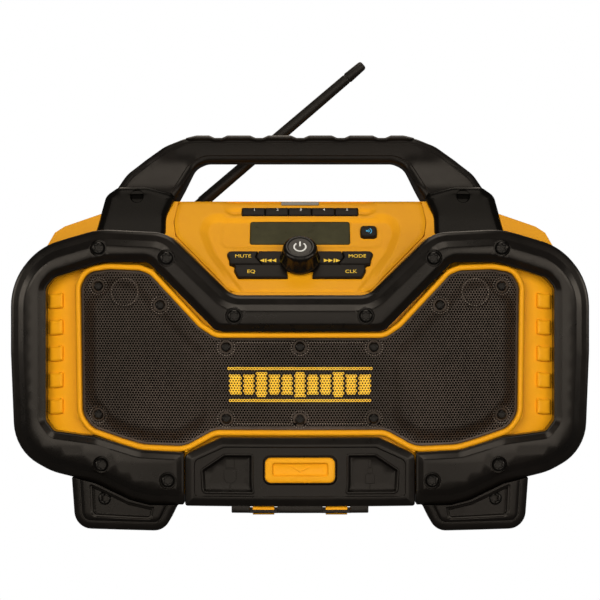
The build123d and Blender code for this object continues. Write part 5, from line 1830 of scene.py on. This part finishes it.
@dataclass
class Fascia:
    """Control fascia: rounded rim, lower field, openings for display and keys, thumb hollows.

    Attributes:
        outline: edge of the fascia.
        field: rim of the lower field.
        frame: rim of the step round the display.
        window: opening of the display.
        presets: opening of the preset buttons.
        pairing: opening of the pairing button.
        pad: opening of the left key pad.
        rim: width and drop of the rounded rim.
        field_step: width and drop of the step to the field.
        frame_step: width and drop of the step to the frame.
        cheek: width and rise of the step beside the field.
        thumb: u and v of the right thumb hollow.
        thumb_size: half width and half height of a thumb hollow.
        thumb_deep: its depth.
        deep: height of the fascia's underside.
    """

    outline: Outline = Outline.mirrored(
        (
            (-94.3, 98.4, 6.0), (-97.0, 76.6, 14.0), (-95.0, 61.4, 14.0), (-82.1, 43.8, 40.0),
            (-51.5, 2.8, 16.0),
        ),
        4.0,
    )  # fmt: skip
    field: Outline = Outline.mirrored(
        ((-69.0, 79.0, 8.0), (-72.5, 66.0, 16.0), (-66.0, 44.0, 24.0), (-38.0, -6.0, 8.0)), 4.0
    )
    frame: Outline = Outline.box((-60.0, 50.4), (61.8, 79.4), 6.0, 4.0)
    window: Outline = Outline.box((-38.6, 53.6), (38.6, 78.6), 2.4, 4.0)
    presets: Outline = Outline.box((-45.3, 82.9), (45.3, 91.9), 1.2, 4.0)
    pairing: Outline = Outline.box((46.0, 59.9), (59.3, 72.6), 3.4, 4.0)
    pad: Outline = Outline(
        (
            (-57.0, 44.9, 3.6), (-53.9, 36.6, 2.0), (-53.4, 31.0, 1.6), (-49.2, 29.2, 1.6),
            (-49.8, 25.0, 1.6), (-46.8, 17.1, 2.6), (-9.0, 17.1, 1.0), (-12.0, 44.9, 1.0),
        ),
        3.0,
    )  # fmt: skip
    rim: Spot = (4.0, 0.9)
    field_step: Spot = (3.4, 1.5)
    frame_step: Spot = (1.4, 0.5)
    cheek: Spot = (4.6, 1.6)
    thumb: Spot = (48.5, 87.6)
    thumb_size: Spot = (9.5, 3.6)
    thumb_deep: float = 1.5
    deep: float = -3.9

    def height(self, flat: Array) -> Array:
        """Height of the face.

        The rim falls off as a quarter round. Smooth steps lead down to the field and the frame
        and up to the cheeks beside the field. The thumb hollows are rounded dishes.

        Args:
            flat: u and v of each spot.

        Returns:
            One height for each spot.
        """
        width, drop = self.rim
        share = np.clip(within(flat, self.outline.ring()) / width, 0, 1)
        height = -drop * (1 - np.sin(share * math.pi / 2))
        inside, framed = within(flat, self.field.ring()), within(flat, self.frame.ring())
        for gap, (width, drop) in ((inside, self.field_step), (framed, self.frame_step)):
            height = height - drop * soften(gap / width + 0.5)
        across = np.abs(flat[:, 0])
        width, rise = self.cheek
        height = height + rise * soften((-inside - 1.4) / width) * soften((across - 52.0) / 10.0)
        (u, v), (half, high) = self.thumb, self.thumb_size
        dish = ((across - u) / half) ** 2 + ((flat[:, 1] - v) / high) ** 2
        return height - self.thumb_deep * np.clip(1 - dish, 0, 1) ** 0.8

    def build(self) -> None:
        """Makes the fascia as one relief with its openings."""
        place, deep = laid(slope_seat, self.height), self.deep
        edge = [Row(0.6, deep), Row(0, deep + 0.5), Row(0, self.height), Row(0.9, self.height)]
        skin = Skin().carry(self.outline, edge, slope_seat, ends=(True, False))
        openings = (self.window, self.presets, self.pairing, self.pad, self.pad.flipped())
        skin.face(self.outline.ring(0.9), place, 1.8, (), [shape.ring() for shape in openings])
        for shape in openings:
            skin.sink(Pocket(shape, ((0.12, -1.9), (0.3, -2.3), (0.35, deep))), place, slope_seat)
        settle(skin.build("fascia_face", 40.0), Paint.yellow_shell, "root", "control_fascia")


@dataclass
class Keys:
    """Pressed parts of the control face and the display's window, each in its own opening.

    Attributes:
        gap: room between a pad's opening and its keys.
        preset_pitch: distance between the preset buttons.
        preset_half: half width of a preset button.
    """

    gap: float = 0.15
    preset_pitch: float = 18.0
    preset_half: float = 8.93

    @classmethod
    def presets(cls) -> dict[int, float]:
        """Numbers of the five preset buttons and the u of their middles."""
        return {number: (number - 3) * cls.preset_pitch for number in range(1, 6)}

    @staticmethod
    def key(node: str, shape: Shape, paint: Paint = Paint.key_rubber, inset: float = 0.0) -> None:
        """Makes one key with a rounded rim, on its CAD node's heights.

        Args:
            node: CAD node that the key stands for.
            shape: the key's outline.
            paint: its finish.
            inset: how far it is drawn in from the outline.
        """
        low, high = slope_span(node)
        steps = (
            (0.3, low), (0, low + 0.4), (0, high - 0.75), (0.15, high - 0.4), (0.45, high - 0.12),
            (0.9, high),
        )  # fmt: skip
        profile = rows(*((inset + step, height) for step, height in steps))
        skin = Skin().carry(shape, profile, slope_seat, pitch=4.0)
        settle(skin.build(f"{node}_top"), paint, "root" if node == "lcd_window" else node, node)

    def build(self) -> None:
        """Makes the key pads' six keys, the presets, the pairing button and the window."""
        left = {
            "mute_key": (
                (-57.0, 44.9, 3.6), (-53.9, 36.6, 2.0), (-53.4, 31.0, 1.6),
                (-29.0, 30.8, 0.8), (-33.6, 38.5, 1.5), (-31.6, 44.9, 0.8),
            ),
            "previous_key": (
                (-31.4, 44.9, 0.8), (-33.4, 38.5, 1.5), (-28.8, 30.8, 1.0),
                (-10.6, 30.8, 0.8), (-12.0, 44.9, 0.8),
            ),
            "equalizer_key": (
                (-53.0, 30.8, 1.0), (-49.2, 29.2, 1.2), (-49.8, 25.0, 1.6),
                (-46.8, 17.1, 2.6), (-9.0, 17.1, 0.8), (-10.6, 30.8, 0.8),
            ),
        }  # fmt: skip
        pairs = {"mute_key": "mode_key", "previous_key": "next_key", "equalizer_key": "clock_key"}
        for node, corners in left.items():
            shape = Outline(corners, 3.0)
            self.key(node, shape, inset=self.gap)
            self.key(pairs[node], shape.flipped(), inset=self.gap)
        for number, middle in self.presets().items():
            low, high = (middle - self.preset_half, 83.1), (middle + self.preset_half, 91.7)
            self.key(f"preset_button_{number}", Outline.box(low, high, 0.5, 4.0))
        self.key("pairing_button", Fascia.pairing, inset=0.5)
        self.key("lcd_window", Fascia.window, Paint.display_glass, 0.25)


@dataclass
class Knob:
    """Power and volume knob with grip facets and a printed power sign.

    Attributes:
        v: place of its middle up the slope.
        radius: of the skirt.
        top: radius of the grip.
        hub: radius of the hub under the skirt.
        sign_r: outer radius of the sign's arc.
        stroke: width of the sign's lines.
        open: half of the gap in the sign's arc, in degrees.
    """

    v: float = 33.7
    radius: float = 15.4
    top: float = 12.2
    hub: float = 7.0
    sign_r: float = 5.0
    stroke: float = 1.2
    open: float = 38.0

    @staticmethod
    def facets(angle: Array, ring: Array) -> Array:
        """Factor on the radius: sixteen shallow waves round the grip's rings."""
        return 1 - 0.012 * (1 - np.cos(16 * angle)) * ((ring > 7) & (ring < 10))

    def sign(self) -> list[Array]:
        """Rings of the power sign: an open arc and a bar in its gap.

        Returns:
            u and v of each ring's points.
        """
        sweep = np.radians(np.linspace(90 + self.open, 450 - self.open, 40))
        line = np.stack([np.cos(sweep), np.sin(sweep)], 1)
        arc = np.concatenate([line * self.sign_r, line[::-1] * (self.sign_r - self.stroke)])
        half, foot = self.stroke / 2, 0.6
        head = self.sign_r + half
        bar = np.array([(-half, foot), (half, foot), (half, head), (-half, head)])
        return [arc + (0, self.v), bar + (0, self.v)]

    def build(self) -> None:
        """Turns the knob on its CAD node's heights and lays the sign on it."""
        low, high = slope_span("volume_knob")
        origin = slope_seat(np.array(0.0), np.array(self.v), np.array(0.0))
        axis = np.array((0, -math.cos(LEAN), math.sin(LEAN)))
        off = node_points("volume_knob") - origin
        high_off = off @ axis
        r, t = self.radius, self.top
        skirt = float(high_off[np.linalg.norm(off - high_off[:, None] * axis, axis=1) > t].min())
        profile = (
            (0, low), (self.hub, low), (self.hub + 0.2, skirt), (r - 1.2, skirt), (r - 0.3, skirt + 0.5),
            (r, skirt + 1.4), (r - 0.05, skirt + 2.6), (r - 0.5, skirt + 3.4), (r - 0.8, skirt + 4.2),
            (t + 1.2, high - 4.4), (t + 0.9, high - 2.8), (t + 0.2, high - 1.3), (t - 1.1, high - 0.3),
            (t - 2.3, high), (t - 2.9, high - 0.1), (t - 3.5, high - 0.55), (0, high - 0.7),
        )  # fmt: skip
        skin = Skin().lathe(profile, origin, axis, 144, self.facets)
        settle(skin.build("knob_body"), Paint.knob_plastic, "volume_knob", "volume_knob")
        Decal("power_sign", self.sign(), high - 0.66, Paint.white_ink).build("volume_knob", "knob_plastic")


@dataclass
class Decal:
    """Thin printed shapes on the control face.

    Attributes:
        name: of the piece.
        shapes: rings of u and v.
        height: of their underside over the control face.
        paint: the ink.
        thick: thickness of the ink.
    """

    name: str
    shapes: list[Array]
    height: float
    paint: Paint
    thick: float = 0.12

    def build(self, body: str, slot: str) -> None:
        """Makes the shapes as thin plates.

        Args:
            body: CAD body that they ride on.
            slot: their slot in the record.
        """
        skin = Skin()
        profile = rows((0, self.height), (0, self.height + self.thick))
        for shape in self.shapes:
            skin.carry(Loop.of(shape), profile, slope_seat, pitch=UNFILLED)
        settle(skin.build(self.name), self.paint, body, slot=slot)


@dataclass
class Lettering:
    """Printed word or number on the control face.

    Attributes:
        name: of the piece.
        text: what it says.
        u: place of its middle across the face.
        v: place of its middle up the slope.
        size: of the letters.
        height: of its underside over the control face.
        paint: the ink.
        thick: thickness of the ink.
    """

    name: str
    text: str
    u: float
    v: float
    size: float
    height: float
    paint: Paint
    thick: float = 0.12

    def build(self, body: str, slot: str) -> None:
        """Makes the letters a mesh first, then lays its points on the control face.

        Args:
            body: CAD body that they ride on.
            slot: their slot in the record.
        """
        curve = bpy.data.curves.new(self.name, "FONT")
        curve.body = self.text
        curve.align_x = "CENTER"
        curve.align_y = "CENTER"
        curve.size = self.size
        curve.extrude = self.thick / 2
        draft = bpy.data.objects.new(f"{self.name}_draft", curve)
        bpy.context.scene.collection.objects.link(draft)
        bpy.context.view_layer.update()
        mesh = bpy.data.meshes.new_from_object(draft.evaluated_get(bpy.context.evaluated_depsgraph_get()))
        bpy.data.objects.remove(draft)
        flat = np.array([vertex.co[:] for vertex in mesh.vertices])
        height = self.height + self.thick / 2 + flat[:, 2]
        placed = slope_seat(self.u + flat[:, 0], self.v + flat[:, 1], height)
        mesh.vertices.foreach_set("co", (placed * MM).ravel())
        mesh.update()
        piece = bpy.data.objects.new(self.name, mesh)
        bpy.context.scene.collection.objects.link(piece)
        settle(piece, self.paint, body, slot=slot)


@dataclass
class Prints:
    """Words, numbers and signs printed on the keys.

    Attributes:
        words: key, word, and u and v of its middle.
        word_size: size of the words' letters.
        number_size: size of the preset buttons' numbers.
        number_place: how far a number's middle lies right of its button's, and its v.
        skip: u and v of the middle of the right skip sign.
        skip_half: half height of a skip sign.
        wave: u and v that the pairing sign's waves spread from.
        waves: their outer radii.
    """

    words: tuple[tuple[str, str, float, float], ...] = (
        ("mute_key", "MUTE", -43.2, 39.0),
        ("equalizer_key", "EQ", -36.8, 22.8),
        ("mode_key", "MODE", 43.4, 39.0),
        ("clock_key", "CLK", 38.4, 22.8),
    )
    word_size: float = 4.8
    number_size: float = 3.6
    number_place: Spot = (0.6, 89.2)
    skip: Spot = (24.4, 34.4)
    skip_half: float = 1.8
    wave: Spot = (51.2, 66.0)
    waves: tuple[float, ...] = (2.2, 4.0)

    def lettering(self) -> None:
        """Prints the key words and the preset numbers."""
        for body, text, u, v in self.words:
            top = slope_span(body)[1]
            word = Lettering(f"{body}_word", text, u, v, self.word_size, top, Paint.yellow_ink)
            word.build(body, "key_rubber")
        right, v = self.number_place
        for number, u in Keys.presets().items():
            body = f"preset_button_{number}"
            name, top = f"{body}_number", slope_span(body)[1]
            digit = Lettering(name, str(number), u + right, v, self.number_size, top, Paint.white_ink)
            digit.build(body, "key_rubber")

    def skip_signs(self) -> None:
        """Prints the skip signs: two arrow heads, a bar and a third arrow head."""
        half = self.skip_half
        shapes = [np.array([(u, -half), (u + 3.4, 0.0), (u, half)]) for u in (-6.4, -2.9, 2.6)]
        shapes.append(np.array([(1.0, -half), (1.9, -half), (1.9, half), (1.0, half)]))
        u, v = self.skip
        for body, side in (("previous_key", Side.left), ("next_key", Side.right)):
            placed = [shape * (side.value, 1) + (side.value * u, v) for shape in shapes]
            Decal(f"{body}_sign", placed, slope_span(body)[1], Paint.yellow_ink).build(body, "key_rubber")

    def pairing_sign(self) -> None:
        """Prints the pairing sign: two waves that spread from a dot."""
        sweep = np.radians(np.linspace(-48, 48, 14))
        line = np.stack([np.cos(sweep), np.sin(sweep)], 1)
        shapes = [np.concatenate([line * r, line[::-1] * (r - 0.7)]) + self.wave for r in self.waves]
        u, v = self.wave
        shapes.append(Disc(u + 0.2, v, 0.9, 16).ring())
        top = slope_span("pairing_button")[1]
        Decal("pairing_sign", shapes, top, Paint.blue_ink).build("pairing_button", "key_rubber")

    def build(self) -> None:
        """Prints all of them."""
        self.lettering()
        self.skip_signs()
        self.pairing_sign()


@dataclass
class Mast:
    """Aerial mast: a slim taper with an end cap, and two cheeks round its base's tongue.

    Attributes:
        rise: angle of the mast over the level, in degrees.
        foot_r: radius of its foot.
        tongue: half width of the gap between the cheeks.
        core: how far from the pivot the gap ends.
        seam: how far from the pivot the end cap starts.
        reach: length from the pivot to the tip.
    """

    rise: float = 40.5
    foot_r: float = 5.0
    tongue: float = 2.5
    core: float = 7.2
    seam: float = 162.0
    reach: float = 180.0

    def build(self) -> None:
        """Turns the taper about the mast's axis and sweeps the cheeks back to the pivot."""
        low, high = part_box("antenna_mast")
        pivot = np.array((low.x / MM + self.foot_r, (low.y + high.y) / 2 / MM, low.z / MM + self.foot_r))
        turn = math.radians(self.rise)
        way = np.array((math.cos(turn), 0, math.sin(turn)))
        up = np.array((-math.sin(turn), 0, math.cos(turn)))
        core, cap, tip = self.core, self.seam, self.reach
        profile = (
            (0, core), (4.5, core), (4.96, core + 0.4), (4.1, cap - 0.5), (3.8, cap), (3.8, cap + 0.7),
            (4.3, cap + 1.0), (4.4, cap + 1.6), (3.9, tip - 2.2), (3.5, tip - 0.9), (2.6, tip - 0.2),
            (0, tip),
        )  # fmt: skip
        skin = Skin().lathe(profile, pivot, way, 32)
        behind = math.sqrt(self.foot_r**2 - self.tongue**2) * np.cos(np.linspace(0, math.pi / 2, 9))
        along = np.concatenate([-behind, [4.0, core + 0.4]])
        radius = np.sqrt(self.foot_r**2 - np.minimum(along, 0) ** 2)
        half = np.arccos(np.clip(self.tongue / radius, -1, 1))
        angle = half[:, None] * np.linspace(-1, 1, 15)
        for side in Side:
            across = side.value * radius[:, None] * np.cos(angle)
            cheek = pivot + along[:, None, None] * way + (radius[:, None] * np.sin(angle))[..., None] * up
            cheek = cheek + across[..., None] * np.array((0, 1, 0))
            end = np.broadcast_to(cheek[-1:].mean(1, keepdims=True), cheek[-1:].shape)
            skin.grid(np.concatenate([cheek, end]))
        settle(skin.build("mast_taper"), Paint.antenna_rubber, "antenna_mast", "antenna_mast")


@dataclass
class Dressing:
    """Finishes of the CAD nodes that stay in view."""

    def build(self) -> None:
        """Gives each CAD node the finish of its slot in the record."""
        for part in frame["record"]["subparts"]:
            Paint[part["material_slot"]].coat(frame["nodes"][part["node"]])


@dataclass
class Studio:
    """White surroundings, soft lamps and the camera.

    Attributes:
        lens: focal length of the camera, in millimetres.
        away: distance of the camera before the radio's middle, in metres.
        eye: height of the camera, in metres.
        room: strength of the surroundings' light on matt surfaces.
        mirrored: strength of the surroundings in glossy surfaces.
        warmth: colour of the lamps that glossy surfaces don't mirror.
        amber: colour of the lamps that they mirror.
        middle: height that the lamps look at, in metres.
    """

    lens: float = 122.7
    away: float = 1.616
    eye: float = 0.1714
    room: float = 0.05
    mirrored: float = 0.04
    warmth: tuple[float, float, float] = (1.0, 0.95, 0.88)
    amber: tuple[float, float, float] = (1.0, 0.87, 0.72)
    middle: float = 0.15

    def lamp(
        self,
        name: str,
        place: Sequence[float],
        size: float,
        watts: float,
        seen: bool = True,
        lights: bool = True,
    ) -> None:
        """Square soft lamp that looks at the radio's middle.

        Args:
            name: of the lamp.
            place: of the lamp, in metres.
            size: of its side, in metres.
            watts: its power.
            seen: whether glossy surfaces mirror it.
            lights: whether it lights matt surfaces.
        """
        light = bpy.data.lights.new(name, "AREA")
        light.size = size
        light.energy = watts
        light.color = self.amber if seen else self.warmth
        lamp = bpy.data.objects.new(name, light)
        lamp.location = place
        lamp.visible_glossy = seen
        lamp.visible_diffuse = lights
        way = Vector((0, 0, self.middle)) - Vector(place)
        lamp.rotation_euler = way.to_track_quat("-Z", "Y").to_euler()
        bpy.context.scene.collection.objects.link(lamp)

    def surroundings(self) -> bpy.types.World:
        """World that the camera sees white, with other strengths for matt and glossy surfaces.

        Returns:
            The world.
        """
        world = bpy.data.worlds.new("white")
        world.use_nodes = True
        tree = world.node_tree
        tree.nodes.clear()
        out = tree.nodes.new("ShaderNodeOutputWorld")
        paths = tree.nodes.new("ShaderNodeLightPath")
        last = tree.nodes.new("ShaderNodeBackground")
        last.inputs[0].default_value = (1.0, 0.96, 0.92, 1)
        last.inputs[1].default_value = self.room
        for ray, colour, strength in (
            ("Is Glossy Ray", (1.0, 0.93, 0.86, 1), self.mirrored),
            ("Is Camera Ray", (1, 1, 1, 1), 1.0),
        ):
            paper = tree.nodes.new("ShaderNodeBackground")
            paper.inputs[0].default_value = colour
            paper.inputs[1].default_value = strength
            mix = tree.nodes.new("ShaderNodeMixShader")
            tree.links.new(paths.outputs[ray], mix.inputs[0])
            tree.links.new(last.outputs[0], mix.inputs[1])
            tree.links.new(paper.outputs[0], mix.inputs[2])
            last = mix
        tree.links.new(last.outputs[0], out.inputs[0])
        return world

    def lamps(self) -> None:
        """Hangs the lamps: two main ones before the radio and weaker ones round it."""
        self.lamp("key", (-0.55, -1.85, 0.6), 1.0, 25.0, seen=False)
        self.lamp("fill", (0.65, -1.85, 0.3), 1.0, 17.0, seen=False)
        self.lamp("rear", (-0.8, 1.9, 0.8), 1.0, 14.0, seen=False)
        self.lamp("top", (0.0, 0.9, 1.1), 0.8, 3.0)
        self.lamp("sky", (0.0, -0.3, 1.5), 0.9, 4.5, lights=False)
        self.lamp("card", (0.0, -2.6, 0.4), 2.2, 9.0, lights=False)
        for side in Side:
            self.lamp(f"{side.name}_box", (side.value * 1.5, -1.65, 0.5), 1.2, 6.5, lights=False)
            self.lamp(f"{side.name}_strip", (side.value * 1.5, -0.65, 0.5), 0.3, 1.2, lights=False)
            self.lamp(f"{side.name}_edge", (side.value * 1.3, 0.3, 0.35), 0.4, 0.9)

    def build(self) -> None:
        """Sets the world, the lamps and the camera."""
        scene = bpy.context.scene
        scene.view_settings.view_transform = "Standard"
        scene.world = self.surroundings()
        self.lamps()
        camera = bpy.data.cameras.new("camera")
        camera.lens = self.lens
        camera.sensor_width = 36.0  # millimetres, as a full-frame camera's
        viewer = bpy.data.objects.new("camera", camera)
        viewer.location = (0, -self.away, self.eye)
        viewer.rotation_euler = (math.pi / 2, 0, 0)
        scene.collection.objects.link(viewer)
        scene.camera = viewer


FOOT_SCREW = (145.6, 23.5)  # x and z of the right feet's screws


def main() -> None:
    """Builds the radio's looks in order."""
    logging.basicConfig(level=logging.INFO, format="%(message)s")
    Dressing().build()
    FrontCage().build()
    Screws("front_screws", (*FrontCage.recesses, FOOT_SCREW)).build()
    Grille().build()
    Lip().build()
    Pads().build()
    Screws("grille_screws", Grille.screws, radius=3.4, high=2.0).build()
    RearCage().build()
    Screws("rear_screws", (*RearCage.recesses, FOOT_SCREW), back=True).build()
    BackPanel().build()
    DoorRibs().build()
    for side in Side:
        for end in End:
            Foot(side, end).build()
        Mount(side).build()
    Screws("handle_screws", (Mount.screw,)).build()
    Handle().build()
    Grip().build()
    Door().build()
    Latch().build()
    Fascia().build()
    Keys().build()
    Knob().build()
    Prints().build()
    Mast().build()
    Studio().build()


if __name__ == "__main__":
    main()
